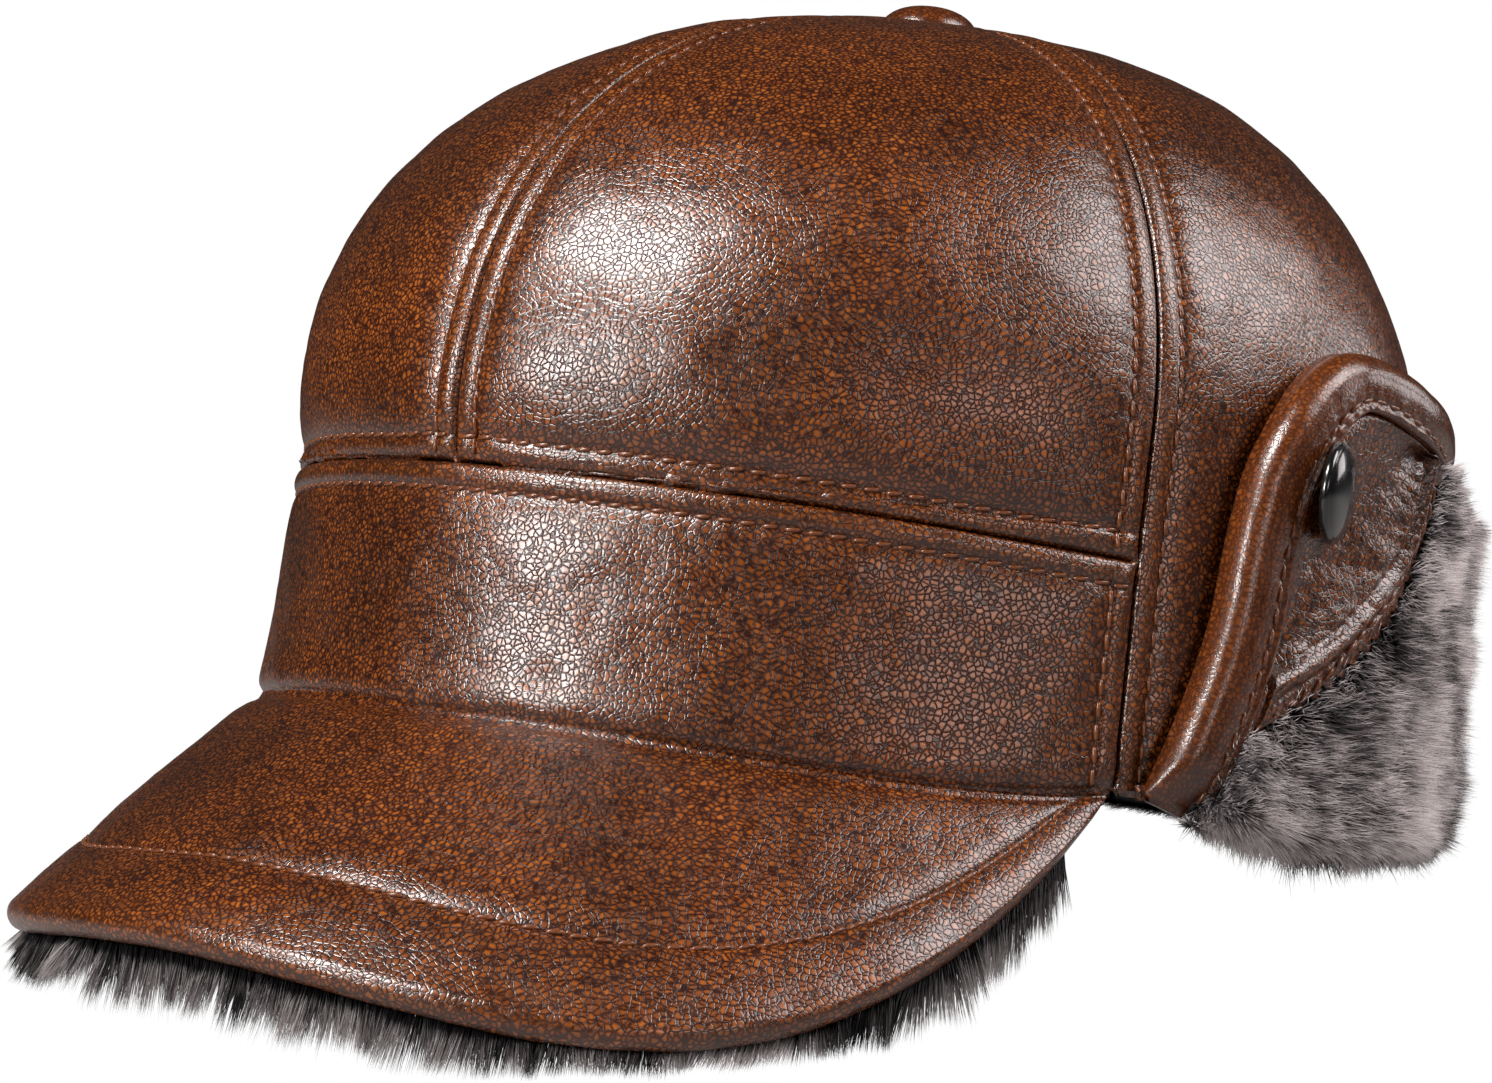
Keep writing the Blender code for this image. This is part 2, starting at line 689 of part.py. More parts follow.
def make_panel_fur(panel, group, parent, finish):
    """The pile: full between the fold and the edge roll, low under the facing, wrapped under the fold."""
    inner, outer = [], []
    first = WRAP_TIP if panel.tip else 0.0
    start = FUR_START if panel.tip else panel.start
    rows = 10 if panel.tip else 4
    for step in panel.spread(14 if panel.tip else 5):
        w = mix(first, 1.0, step)
        fold = Vector((mix(start, panel.end, w) * HALF_WIDTH, FOLD_HEIGHT))
        top = edge_inset(panel.edge, w, FLAP_EDGE_WIDTH + FUR_EDGE_GAP)
        low, high = fur_wrap(panel, fold, w - first)
        for j in range(rows + 1):
            flat = panel.between(fold.lerp(top, j / rows))
            thick = pile_height(panel, flat, j / rows, w - first)
            flat.y += 0.4 * MM * (j == 0)
            low.append(panel.at(flat, FLAP_FUR_OFFSET))
            high.append(on_table(panel.at(flat, FLAP_FUR_OFFSET + thick)))
        inner.append(low)
        outer.append(high)
    inner, outer = panel.mirror(inner), panel.mirror(outer)
    return padding(panel.name + "_fur", group, parent, inner, outer, finish["fur"])


def make_facing(panel, group, parent, finish):
    """The leather facing under the snap: from the edge roll to its own pinked back edge."""
    columns = []
    for i in range(6):
        across = i / 5
        column = []
        for j in range(9):
            up = mix(0.06, 0.96, j / 8)
            angle, height = spline(FACING_EDGE, up)
            back = Vector((math.radians(angle) * HALF_WIDTH, height * MM))
            front = edge_inset(panel.edge, mix(0.13, 0.82, up), FLAP_EDGE_WIDTH + FUR_EDGE_GAP)
            column.append(panel.at(front.lerp(back, across), FACING_OFFSET + FACING))
        columns.append(column)
    name = panel.name + "_facing"
    return sheet(name, group, parent, panel.mirror(columns), FACING, finish["leather"])


def make_snap(panel, word, group, cutters, cap, parent, finish, crown, skins):
    """Snap: a stud on the crown, and a socket and cap held through the panel."""
    place = wall_point(SNAP_ANGLE, SNAP_HEIGHT, 0.0)
    outward = crown_normal(SNAP_ANGLE, SNAP_HEIGHT)
    if panel.side < 0:
        place.x, outward.x = -place.x, -outward.x
    top = FACING_OFFSET + FACING + GAP
    r, rim = SNAP_RADIUS, top + SNAP_RIM
    arc = [math.radians(a) for a in (90, 70, 50, 30, 10)]
    cap_profile = [(r * math.cos(a), rim + SNAP_DOME * math.sin(a)) for a in arc]
    cap_profile += [(r, rim), (r - 0.4 * MM, top), (SNAP_POST_RADIUS, top)]
    cap_profile += [(SNAP_POST_RADIUS, SNAP_POST_FOOT), (0.0, SNAP_POST_FOOT)]
    name = panel.name + "_snap_cap"
    turned(name, group, parent, place, outward, cap_profile, finish["black"], steps=20)
    socket = [(0.0, 4.7), (3.2, 4.7), (3.2, 1.6), (4.8, 1.6), (4.8, 1.15), (2.6, 1.15), (2.6, 4.2)]
    socket = [(a * MM, b * MM) for a, b in socket] + [(0.0, 4.2 * MM)]
    turned(panel.name + "_snap_socket", group, parent, place, outward, socket, finish["metal"], steps=12)
    stud = [(0.0, 2.7), (1.6, 2.6), (2.2, 2.1), (2.2, 1.7), (1.7, 1.2), (1.7, 0.9), (3.6, 0.95)]
    stud += [(3.6, 0.65), (1.5, 0.65), (1.5, -2.05), (3.2, -2.05), (3.2, -2.5), (0.0, -2.5)]
    stud = [(a * MM, b * MM) for a, b in stud]
    turned(f"snap_stud_{word}", group, cap, place, outward, stud, finish["metal"], steps=12)
    cut_round(crown, cutters, cap, place, outward, STUD_HOLE_RADIUS, -6.0 * MM, 4.0 * MM)
    for skin, radius in zip(skins, (SOCKET_HOLE_RADIUS, SOCKET_HOLE_RADIUS, POST_HOLE_RADIUS)):
        cut_round(skin, cutters, parent, place, outward, radius, 0.0, 14.0 * MM)


def fold_empty(panel, group, cap):
    """An empty on the panel's hinge axis, with its X axis along it."""
    place, along = panel.axis()
    if panel.side < 0:
        place.x, along.y = -place.x, -along.y
    made = bpy.data.objects.new("fold_" + panel.name, None)
    group.objects.link(made)
    made.parent = cap
    made.location = place
    made["at"] = tuple(place)
    made["axis"] = tuple(along)
    return made


def panels(side, word):
    ear_end, side_end, middle = PANEL_ENDS
    return [
        Panel(f"ear_{word}", FLAP_TIP, ear_end, ear_edge, side, tip=True),
        Panel(f"neck_side_{word}", ear_end, side_end, level_edge(ear_end, side_end), side),
        Panel(f"neck_back_{word}", side_end, middle, level_edge(side_end, middle), side),
    ]


def make_flap(group, cutters, cap, finish, crown_pieces):
    for side, word in ((1, "left"), (-1, "right")):
        for panel in panels(side, word):
            parent = fold_empty(panel, group, cap)
            leather = make_panel_leather(panel, group, parent, finish)
            make_panel_edge(panel, group, parent, finish)
            fur = make_panel_fur(panel, group, parent, finish)
            if not panel.tip:
                continue
            facing = make_facing(panel, group, parent, finish)
            wall = crown_pieces[f"crown_side_{word}"]
            skins = (leather, fur, facing)
            make_snap(panel, word, group, cutters, cap, parent, finish, wall, skins)


def stand_on_table(cap, group):
    """Puts the world's origin on the table, under the middle of the cap's box."""
    bpy.context.view_layer.update()
    graph = bpy.context.evaluated_depsgraph_get()
    reach = []
    for obj in group.objects:
        if obj.type == "MESH":
            seen = obj.evaluated_get(graph)
            reach += [(seen.matrix_world @ v.co).y for v in seen.data.vertices]
    cap.location.y -= (min(reach) + max(reach)) / 2.0


def main():
    clear_scene()
    group, cutters = collection(PARTS), collection(CUTTERS)
    finish = materials()
    cap = bpy.data.objects.new("cap", None)
    group.objects.link(cap)
    cap.rotation_euler = (-PITCH, 0.0, 0.0)
    cap.location = (0.0, 0.0, RIM_ABOVE_TABLE)
    crown_pieces = make_crown(group, cap, finish)
    make_front_band(group, cap, finish)
    make_sweatband(group, cap, finish)
    make_button(group, cap, finish)
    make_visor(group, cap, finish)
    make_flap(group, cutters, cap, finish, crown_pieces)
    stand_on_table(cap, group)


main()
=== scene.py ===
"""The looks of the leather trapper cap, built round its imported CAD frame.

Points are worked out in the cap's own frame, in millimetres: the origin is the centre of the rim, the
front is -Y, the wearer's left is +X. A place on the crown is an angle round it (0 in front, growing
towards the wearer's left), a height above the rim and a distance out from the wall. to_world() turns
such points into metres in the row frame, with the pitch and the place that the head_opening mount has.
Surfaces are grids of points, (columns, rows, 3); paired pieces are made on the left and then mirrored.
"""

import json
import math

import bpy
import numpy as np
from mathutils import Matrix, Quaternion, Vector

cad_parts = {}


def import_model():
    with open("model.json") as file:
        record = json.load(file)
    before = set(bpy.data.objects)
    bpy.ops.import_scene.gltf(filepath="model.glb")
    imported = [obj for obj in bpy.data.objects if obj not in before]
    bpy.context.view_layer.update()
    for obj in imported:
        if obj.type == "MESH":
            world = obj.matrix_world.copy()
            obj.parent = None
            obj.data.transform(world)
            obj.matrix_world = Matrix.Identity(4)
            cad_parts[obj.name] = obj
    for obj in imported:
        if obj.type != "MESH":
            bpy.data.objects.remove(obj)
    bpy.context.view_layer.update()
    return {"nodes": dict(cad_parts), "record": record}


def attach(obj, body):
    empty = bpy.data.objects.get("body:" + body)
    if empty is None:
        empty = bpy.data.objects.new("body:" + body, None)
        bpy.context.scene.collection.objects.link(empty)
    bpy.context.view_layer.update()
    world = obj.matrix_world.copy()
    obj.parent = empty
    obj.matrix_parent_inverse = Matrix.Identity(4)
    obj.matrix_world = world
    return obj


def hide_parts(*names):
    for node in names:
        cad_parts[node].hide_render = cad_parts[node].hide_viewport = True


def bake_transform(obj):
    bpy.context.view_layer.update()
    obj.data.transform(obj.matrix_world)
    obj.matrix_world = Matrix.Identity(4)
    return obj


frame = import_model()

MM = 0.001
OPENING = next(m for m in frame["record"]["mounts"] if m["name"] == "head_opening")
RIM_CENTRE = np.array(OPENING["pos_m"])
PITCH = math.asin(-OPENING["axis"][1])
UP = np.array([0.0, -math.sin(PITCH), math.cos(PITCH)])
SIDES = ((1, "left"), (-1, "right"))
MIRROR = np.array([-1.0, 1.0, 1.0])

# The crown, as the CAD has it, in mm and radians
HALF_WIDTH, FRONT_LENGTH, BACK_LENGTH = 100.0, 105.1, 89.3
PLAN_POWER = 1.8
HEIGHT = 125.1
TOP_SHIFT_BACK = 6.0
BAND_HEIGHT, BAND_DROP, BAND_TAPER = 37.9, 6.8, 0.023
SHOULDER_HEIGHT, SHOULDER_SCALE = 52.3, 0.988
DOME_HEIGHT = HEIGHT - SHOULDER_HEIGHT
BAND_END = math.radians(52.0)
FRONT_POWERS, BACK_POWERS = (2.03, 2.24), (1.56, 2.98)
PUFF = 2.0
SEAMS = [math.radians(a) for a in (0.0, 64.4, 122.0, 180.0)]
PARTS = ("front", "side", "back")
TOP_HOLE, LINING_HOLE = 7.0, 14.0
CROWN_LEATHER, SEAM_GAP = 1.3, 0.03
BACK_RIM, RIM_EASE = -0.5, math.radians(14.0)
LINING_DEPTH, LINING_THICK, LINING_THIN = 3.1, 5.0, 1.2
SWEATBAND_DEPTH, SWEATBAND_LOW, SWEATBAND_HIGH, SWEATBAND_THICK = 9.6, 4.0, 32.0, 1.1
BUTTON_RADIUS, BUTTON_HEIGHT, BUTTON_LIFT = 8.8, 5.0, 0.7

# The visor
VISOR_SLOPE = math.tan(math.radians(36.7))
VISOR_ARCH_RADIUS = 84.4
VISOR_REACH, VISOR_HALF_WIDTH = 46.5, 90.5
VISOR_CORNER = math.radians(66.0)
VISOR_EDGE_POWER = 0.745
VISOR_GAP = 0.6
VISOR_ROLL = 2.6
VISOR_STITCH = 15.0
VISOR_LEATHER, VISOR_DEPTH, VISOR_FUR_INSET = 1.2, 3.9, 2.8
VISOR_SWEEP = math.radians(83.7)

# The flap
FOLD_HEIGHT, FOLD_TOP = -5.0, 0.6
FLAP_OUT, FLAP_LEATHER, FOLD_LEATHER = 3.6, 1.5, 1.0
PILE_OUT = 4.2
EDGE_WIDTH, EDGE_SEAM = 9.2, 7.3
NECK_TOP = 58.0
PANEL_GAP = 0.8
EAR_EDGE = ((65.6, -1.0), (70.3, 24.0), (73.0, 54.0), (81.0, 70.0), (94.0, 66.5), (106.0, 58.0))
FACING_EDGE = ((75.5, 12.0), (85.0, 23.0), (93.0, 38.0), (95.5, 55.0))
FACING_OUT, FACING_LEATHER, FACING_SEAM, FACING_WELT = 8.9, 1.2, 2.6, 4.3
TOOTH_WIDTH, TOOTH_DEPTH = 3.3, 1.7
EAR_FUR_START = math.radians(69.3)
PANELS = (
    ("ear", math.radians(65.6), math.radians(106.0)),
    ("neck_side", math.radians(106.0), math.radians(143.0)),
    ("neck_back", math.radians(143.0), math.radians(180.0)),
)
SNAP_ANGLE, SNAP_HEIGHT, SNAP_RADIUS = math.radians(80.0), 48.5, 8.0
SNAP_OUT, SNAP_TURN = 7.6, math.radians(30.0)

# Fur
STRANDS = 44000
STRAND_WIDTH = 0.16
STRAND_FACES = np.array([(0, 1, 3), (1, 2, 3), (2, 0, 3), (2, 1, 0)])

# Sewing
STITCH_PITCH, STITCH_LENGTH, STITCH_THICK = 3.4, 2.6, 0.75
STITCH_START, STITCH_LIFT, STITCH_SLANT = 0.5, 0.16, 0.12
STITCH_ROW = 4.0
# Distances from a seam at which a skin has a column of points
NEAR = np.array(
    [0.0, 0.2, 0.45, 0.7, 1.0, 1.3, 1.7, 2.1, 2.5, 2.9, 3.3, 3.65, 4.0, 4.35, 4.7, 5.2, 6.0, 7.0, 8.5]
)
STITCH_COLUMN = int(np.argmin(abs(NEAR - STITCH_ROW)))


# ---- places


def mix(a, b, t):
    return a + (b - a) * t


def smooth(t):
    t = np.clip(t, 0.0, 1.0)
    return t * t * (3.0 - 2.0 * t)


def bump(d, width):
    return np.exp(-((d / width) ** 2))


def grid(a, b):
    """One value for each column and one for each row, both spread over the whole grid."""
    return np.meshgrid(a, b, indexing="ij")


def unit(v):
    return v / np.maximum(np.linalg.norm(v, axis=-1, keepdims=True), 1e-9)


def walked(path):
    """Distance along a path, at each of its points."""
    return np.concatenate([[0.0], np.cumsum(np.linalg.norm(np.diff(path, axis=0), axis=1))])


def at_distance(at, run, path):
    """Points of a path at some distances along it."""
    return np.stack([np.interp(at, run, path[:, k]) for k in range(3)], -1)


def to_world(points):
    """Points of the cap's frame, in mm, as metres in the row frame."""
    x, y, z = np.moveaxis(np.asarray(points, float), -1, 0)
    c, s = math.cos(PITCH), math.sin(PITCH)
    return np.stack([x, y * c + z * s, -y * s + z * c], -1) * MM + RIM_CENTRE


def on_table(points, clearance):
    """The points, with those nearer to the table than the clearance lifted to it."""
    above = points @ UP + RIM_CENTRE[2] / MM
    return points + np.maximum(clearance - above, 0.0)[..., None] * UP


def plan_radius(theta):
    s, c = np.abs(np.sin(theta)), np.abs(np.cos(theta))
    k = (s**PLAN_POWER + c**PLAN_POWER) ** (-1.0 / PLAN_POWER)
    return k * HALF_WIDTH, k * np.where(np.cos(theta) > 0, FRONT_LENGTH, BACK_LENGTH)


def dome_powers(theta):
    front = 0.5 + 0.5 * np.cos(theta)
    return [mix(b, f, front) for b, f in zip(BACK_POWERS, FRONT_POWERS)]


def from_front(theta):
    """The angle from the front, either way round."""
    return np.abs(np.arctan2(np.sin(theta), np.cos(theta)))


def puff(theta, z):
    """How far a gore swells between its seams, as a share of the plan."""
    across = np.interp(from_front(theta), SEAMS, np.arange(len(SEAMS)))
    up = np.clip((z - BAND_HEIGHT) / (HEIGHT - BAND_HEIGHT), 0.0, 1.0)
    return PUFF / HALF_WIDTH * np.abs(np.sin(math.pi * across)) * np.sin(math.pi * up**0.8)


def dome_scale(theta, z):
    p, q = dome_powers(theta)
    s = np.clip(np.abs((z - SHOULDER_HEIGHT) / DOME_HEIGHT), 0.0, 1.0)
    scale = SHOULDER_SCALE * (1.0 - s**p) ** (1.0 / q)
    scale = np.where(z <= BAND_HEIGHT, 1.0 - BAND_TAPER * np.maximum(z, 0.0) / BAND_HEIGHT, scale)
    plain = mix(1.0, SHOULDER_SCALE, smooth(z / SHOULDER_HEIGHT))
    low = mix(scale, plain, smooth((from_front(theta) - BAND_END) / (SEAMS[1] - BAND_END)))
    return np.where(z < SHOULDER_HEIGHT, low, scale) + puff(theta, z)


def dome_heights(theta, low, hole, up):
    """Heights at shares up of the way from low to a hole on top, closer where the dome turns over."""
    p, q = dome_powers(theta)
    top = np.arcsin((1.0 - (hole / HALF_WIDTH / SHOULDER_SCALE) ** q) ** (1.0 / p))
    first = np.arcsin((low - SHOULDER_HEIGHT) / DOME_HEIGHT)
    return SHOULDER_HEIGHT + DOME_HEIGHT * np.sin(mix(first, top, up))


def crown_point(theta, z):
    """Points on the crown's outer surface."""
    theta, z = np.broadcast_arrays(np.asarray(theta, float), np.asarray(z, float))
    rx, ry = plan_radius(theta)
    scale = dome_scale(theta, z)
    back = TOP_SHIFT_BACK * np.clip(z / HEIGHT, 0.0, 1.0) ** 2
    return np.stack([rx * np.sin(theta) * scale, -ry * np.cos(theta) * scale + back, z], -1)


def wall_point(theta, z, out):
    """Points beside the crown's wall: out from it, level, at height z, also below the rim."""
    theta, out = np.broadcast_arrays(np.asarray(theta, float), np.asarray(out, float))
    length = np.where(np.cos(theta) > 0, FRONT_LENGTH, BACK_LENGTH)
    n = unit(np.stack([np.sin(theta) / HALF_WIDTH, -np.cos(theta) / length, np.zeros_like(theta)], -1))
    return crown_point(theta, z) + n * out[..., None]


def flat_point(flat, out):
    """Points beside the wall from flat ones: distance along the fold and height, in mm."""
    return wall_point(flat[..., 0] / HALF_WIDTH, flat[..., 1], out)


def visor_height(x, forward):
    return -VISOR_SLOPE * (forward - FRONT_LENGTH) - x * x / (2.0 * VISOR_ARCH_RADIUS)


def rim_height(theta):
    p = crown_point(np.minimum(np.abs(theta), SEAMS[1]), 0.0)
    on_visor = visor_height(p[..., 0], -p[..., 1])
    return mix(on_visor, BACK_RIM, smooth((np.abs(theta) - SEAMS[1]) / RIM_EASE))


def band_seam_height(theta):
    return BAND_HEIGHT - BAND_DROP * (1.0 - np.cos(theta))


def above_band(theta):
    return band_seam_height(theta) + SEAM_GAP


def flat_curve(points, t):
    """A Catmull-Rom curve through (degrees, mm) points, laid out flat, at an array of t from 0 to 1."""
    points, t = np.array(points, float), np.asarray(t, float)
    last = len(points) - 1
    i = np.minimum((t * last).astype(int), last - 1)
    f = (t * last - i)[..., None]
    a, b = points[np.maximum(i - 1, 0)], points[i]
    c, d = points[i + 1], points[np.minimum(i + 2, last)]
    bent = (2 * a - 5 * b + 4 * c - d) * f**2 + (3 * b - a - 3 * c + d) * f**3
    found = (2 * b + (c - a) * f + bent) / 2
    return np.stack([np.radians(found[..., 0]) * HALF_WIDTH, found[..., 1]], -1)


def field(points, size, seed):
    """Smooth random values from -1 to 1 over the points, with features about size mm across."""
    q = np.asarray(points, float) / size
    cell = np.floor(q).astype(np.int64)
    f = q - cell
    f = f * f * (3.0 - 2.0 * f)
    total = np.zeros(q.shape[:-1])
    for corner in range(8):
        step = np.array([corner & 1, corner >> 1 & 1, corner >> 2 & 1])
        at = cell + step
        h = at[..., 0] * 73856093 ^ at[..., 1] * 19349663 ^ at[..., 2] * 83492791 ^ seed * 2654435761
        h = (h ^ h >> 13) * 1274126177 & 0xFFFFFFFF
        value = ((h ^ h >> 16) & 0xFFFF) / 32767.5 - 1.0
        total += value * np.prod(np.where(step == 1, f, 1.0 - f), axis=-1)
    return total


def layered(points, size, seed):
    return sum(field(points, size / 2**i, seed + i) * 0.6**i for i in range(3))


# ---- meshes


def grid_normals(p):
    return unit(np.cross(np.gradient(p, axis=0), np.gradient(p, axis=1)))


def grid_faces(columns, rows, start=0, flip=False, wrap_columns=False, wrap_rows=False):
    i = np.arange(columns if wrap_columns else columns - 1)[:, None]
    j = np.arange(rows if wrap_rows else rows - 1)[None, :]
    right, up = (i + 1) % columns, (j + 1) % rows
    quads = np.stack([i * rows + j, right * rows + j, right * rows + up, i * rows + up], -1)
    quads = quads.reshape(-1, 4) + start
    return quads[:, ::-1] if flip else quads


def closed_grid(inner, outer):
    """Points and faces of the closed body between two grids."""
    columns, rows = outer.shape[:2]
    half = columns * rows
    index = np.arange(half).reshape(columns, rows)
    border = np.concatenate([index[:-1, 0], index[-1, :-1], index[:0:-1, -1], index[0, :0:-1]])
    after = np.roll(border, -1)
    rim = np.stack([border, border + half, after + half, after], -1)
    quads = np.concatenate([grid_faces(columns, rows), grid_faces(columns, rows, half, flip=True), rim])
    return np.concatenate([outer.reshape(-1, 3), inner.reshape(-1, 3)]), quads


def capped(body, ends):
    """Points and faces of a round body: a grid (angles, rows) from its top down, and its two end points."""
    steps, rows = body.shape[:2]
    i = np.arange(steps)
    after = (i + 1) % steps
    top = np.stack([np.full(steps, steps * rows), i * rows, after * rows], -1)
    low = np.stack([np.full(steps, steps * rows + 1), (after + 1) * rows - 1, (i + 1) * rows - 1], -1)
    sides = grid_faces(steps, rows, wrap_columns=True, flip=True)
    return np.concatenate([body.reshape(-1, 3), ends]), [sides, top, low]


def in_scene(name, data):
    made = bpy.data.objects.new(name, data)
    bpy.context.scene.collection.objects.link(made)
    return made


def new_object(name, points, face_sets, material, **attributes):
    """An object from points in the cap's frame and arrays of faces, each with one number of corners."""
    mesh = bpy.data.meshes.new(name)
    mesh.vertices.add(len(points))
    mesh.vertices.foreach_set("co", to_world(points).astype(np.float32).ravel())
    counts = np.concatenate([np.full(len(f), f.shape[1]) for f in face_sets])
    corners = np.concatenate([f.ravel() for f in face_sets]).astype(np.int32)
    mesh.loops.add(len(corners))
    mesh.loops.foreach_set("vertex_index", corners)
    mesh.polygons.add(len(counts))
    starts = np.concatenate([[0], np.cumsum(counts)[:-1]]).astype(np.int32)
    mesh.polygons.foreach_set("loop_start", starts)
    mesh.update(calc_edges=True)
    for key, values in attributes.items():
        layer = mesh.attributes.new(key, "FLOAT", "POINT")
        layer.data.foreach_set("value", values.astype(np.float32).ravel())
    mesh.materials.append(material)
    mesh.shade_smooth()
    return in_scene(name, mesh)


def mirrored(values, side, flip=MIRROR):
    """A grid itself for the left side, or its mirror image, still facing out, for the right side."""
    return values if side > 0 else values[::-1] * flip


def skin(name, p, thickness, material, wear, side=1, closed=False):
    """A skin of even thickness under a grid of outer points."""
    faces = grid_faces(*p.shape[:2], wrap_columns=closed)
    points = mirrored(p, side).reshape(-1, 3)
    made = new_object(name, points, [faces], material, wear=mirrored(wear, side, 1.0))
    solid = made.modifiers.new("thickness", "SOLIDIFY")
    solid.thickness = thickness * MM
    solid.offset = -1.0
    return made


def tube(name, p, material, wear, side):
    """A closed body from a grid whose rows run round a section; its two ends are filled."""
    columns, rows = p.shape[:2]
    first = np.arange(rows)[None, :]
    last = first[:, ::-1] + (columns - 1) * rows
    faces = [grid_faces(columns, rows, wrap_rows=True), first, last]
    points = mirrored(p, side).reshape(-1, 3)
    return new_object(name, points, faces, material, wear=mirrored(wear, side, 1.0))


def turned(name, place, outward, profile, material, steps=96):
    """A closed turned piece: the profile (radius, height) runs from the axis on top to the axis below."""
    profile = np.array(profile, float)
    quat = Vector(outward).to_track_quat("Z", "Y")
    x, y, z = (np.array(quat @ Vector(axis)) for axis in ((1, 0, 0), (0, 1, 0), (0, 0, 1)))
    a = np.arange(steps)[:, None] * 2.0 * math.pi / steps
    ring = np.cos(a) * x + np.sin(a) * y
    body = ring[:, None] * profile[1:-1, :1] + z * profile[1:-1, 1:]
    points, faces = capped(body, [z * profile[0, 1], z * profile[-1, 1]])
    return new_object(name, points + place, faces, material)


def finish_piece(piece, body, slot, *nodes):
    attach(piece, body)
    if nodes:
        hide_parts(*nodes)


def leather(body, node, p, thickness, wear, side=1):
    """The leather skin that replaces a node of the CAD."""
    piece = skin(node + "_skin", p, thickness, LEATHER, wear, side)
    finish_piece(piece, body, "brown_leather", node)


# ---- sewing


class Sewing:
    """The visible stitches of each body, gathered row by row and made into one piece."""

    def __init__(self):
        self.rows = {}

    def row(self, body, path, normals, side=1):
        """One row along a path of points, lying on the surface with these normals."""
        flip = np.array([side, 1.0, 1.0])
        path, normals = path * flip, normals * flip
        along = walked(path)
        count = int((along[-1] - STITCH_START) // STITCH_PITCH)
        at = STITCH_START + (np.arange(count) + 0.5) * STITCH_PITCH
        centre = at_distance(at, along, path)
        up = unit(at_distance(at, along, normals))
        run = at_distance(at + 0.5, along, path) - centre
        run = unit(run - up * (run * up).sum(1, keepdims=True))
        run = unit(run + np.cross(up, run) * STITCH_SLANT)
        self.rows.setdefault(body, []).append((centre + up * STITCH_LIFT, run, np.cross(up, run), up))

    def seams(self, body, p, start, stop, side=1):
        """Rows beside the first and the last column of a grid."""
        for column in (STITCH_COLUMN, -1 - STITCH_COLUMN):
            self.row(body, p[column, start:stop], grid_normals(p)[column, start:stop], side)

    def make(self, material):
        half, r = STITCH_LENGTH / 2.0, STITCH_THICK / 2.0
        a = np.radians(np.arange(0.0, 360.0, 60.0))[:, None]
        stations = np.array([0.93, 0.6, 0.0, -0.6, -0.93]) * half
        radii = np.array([0.62, 0.95, 1.0, 0.95, 0.62]) * r
        sag = np.array([0.35, 0.08, 0.0, 0.08, 0.35]) * r
        stitch = np.stack([stations + 0.0 * a, radii * np.cos(a), radii * np.sin(a) - sag], -1)
        local, faces = capped(stitch, [(half, 0.0, -0.6 * r), (-half, 0.0, -0.6 * r)])
        for body, rows in self.rows.items():
            centre, *axes = (np.concatenate(parts)[:, None] for parts in zip(*rows))
            points = centre + sum(local[:, k, None] * axis for k, axis in enumerate(axes))
            shift = (np.arange(len(centre)) * len(local))[:, None, None]
            all_faces = [(f + shift).reshape(-1, f.shape[1]) for f in faces]
            piece = new_object("stitching_" + body, points.reshape(-1, 3), all_faces, material)
            finish_piece(piece, body, "brown_leather")


def seam_relief(d, along, ridge):
    """Height of the leather beside a sewn seam: a groove, a padded strip, a stitched valley, a puff."""
    phase = np.cos(2.0 * math.pi * along / STITCH_PITCH)
    strip = np.sin(math.pi * np.clip(d / STITCH_ROW, 0.0, 1.0)) ** 0.8
    valley = 0.32 * bump(d - STITCH_ROW, 0.6) * (0.7 + 0.3 * phase)
    pucker = 0.1 * phase * bump(d - 5.6, 1.6)
    outside = 0.4 * (1.0 - bump(np.maximum(d - STITCH_ROW, 0.0), 2.0)) * (1.0 - smooth((d - 8.0) / 16.0))
    return ridge * strip - 0.7 * bump(d, 0.3) - valley + pucker + np.where(d > STITCH_ROW, outside, 0.0)


def seam_wear(d):
    """1 on the crests beside a seam, where the finish is rubbed."""
    return np.clip(bump(d - 1.9, 1.3) + 0.3 * bump(d - 5.4, 1.2), 0.0, 1.0)


def calm_near(*distances):
    """0 beside a seam and 1 well away from all of them."""
    return smooth((np.minimum.reduce(distances) - 1.0) / 8.0)


def near_spacing(total, middle, end=True):
    """Distances from 0 to total, close together at the start and, if end, at the end; and their scale."""
    k = min(1.0, total / (2.4 * NEAR[-1]))
    near = NEAR * k
    if not end:
        return np.concatenate([near, np.linspace(near[-1], total, middle + 1)[1:]]), k
    inner = np.linspace(near[-1], total - near[-1], middle + 2)[1:-1]
    return np.concatenate([near, inner, total - near[::-1]]), k


# ---- materials


def new_material(name):
    made = bpy.data.materials.new(name)
    made.use_nodes = True
    return made, made.node_tree, made.node_tree.nodes["Principled BSDF"]


def put(tree, socket, value):
    """Link a node's input to another node, or set its value."""
    if isinstance(value, bpy.types.NodeSocket):
        tree.links.new(value, socket)
    elif socket.type == "RGBA":
        socket.default_value = (*value, 1.0)
    else:
        socket.default_value = value


def fill(tree, node, **settings):
    """Set or link inputs of a node by name; names of no input are its properties."""
    for key, value in settings.items():
        name = key.replace("_", " ")
        if name in node.inputs:
            put(tree, node.inputs[name], value)
        else:
            setattr(node, key, value)
    return node


def add(tree, kind, *values, **settings):
    """A node, with values for its first inputs and settings for the others."""
    node = fill(tree, tree.nodes.new(kind), **settings)
    for socket, value in zip(node.inputs, values):
        put(tree, socket, value)
    return node


def noise(tree, place, scale, detail, roughness=0.5):
    return add(tree, "ShaderNodeTexNoise", Vector=place, Scale=scale, Detail=detail, Roughness=roughness)


def product(tree, a, b):
    return add(tree, "ShaderNodeMath", a, b, operation="MULTIPLY").outputs[0]


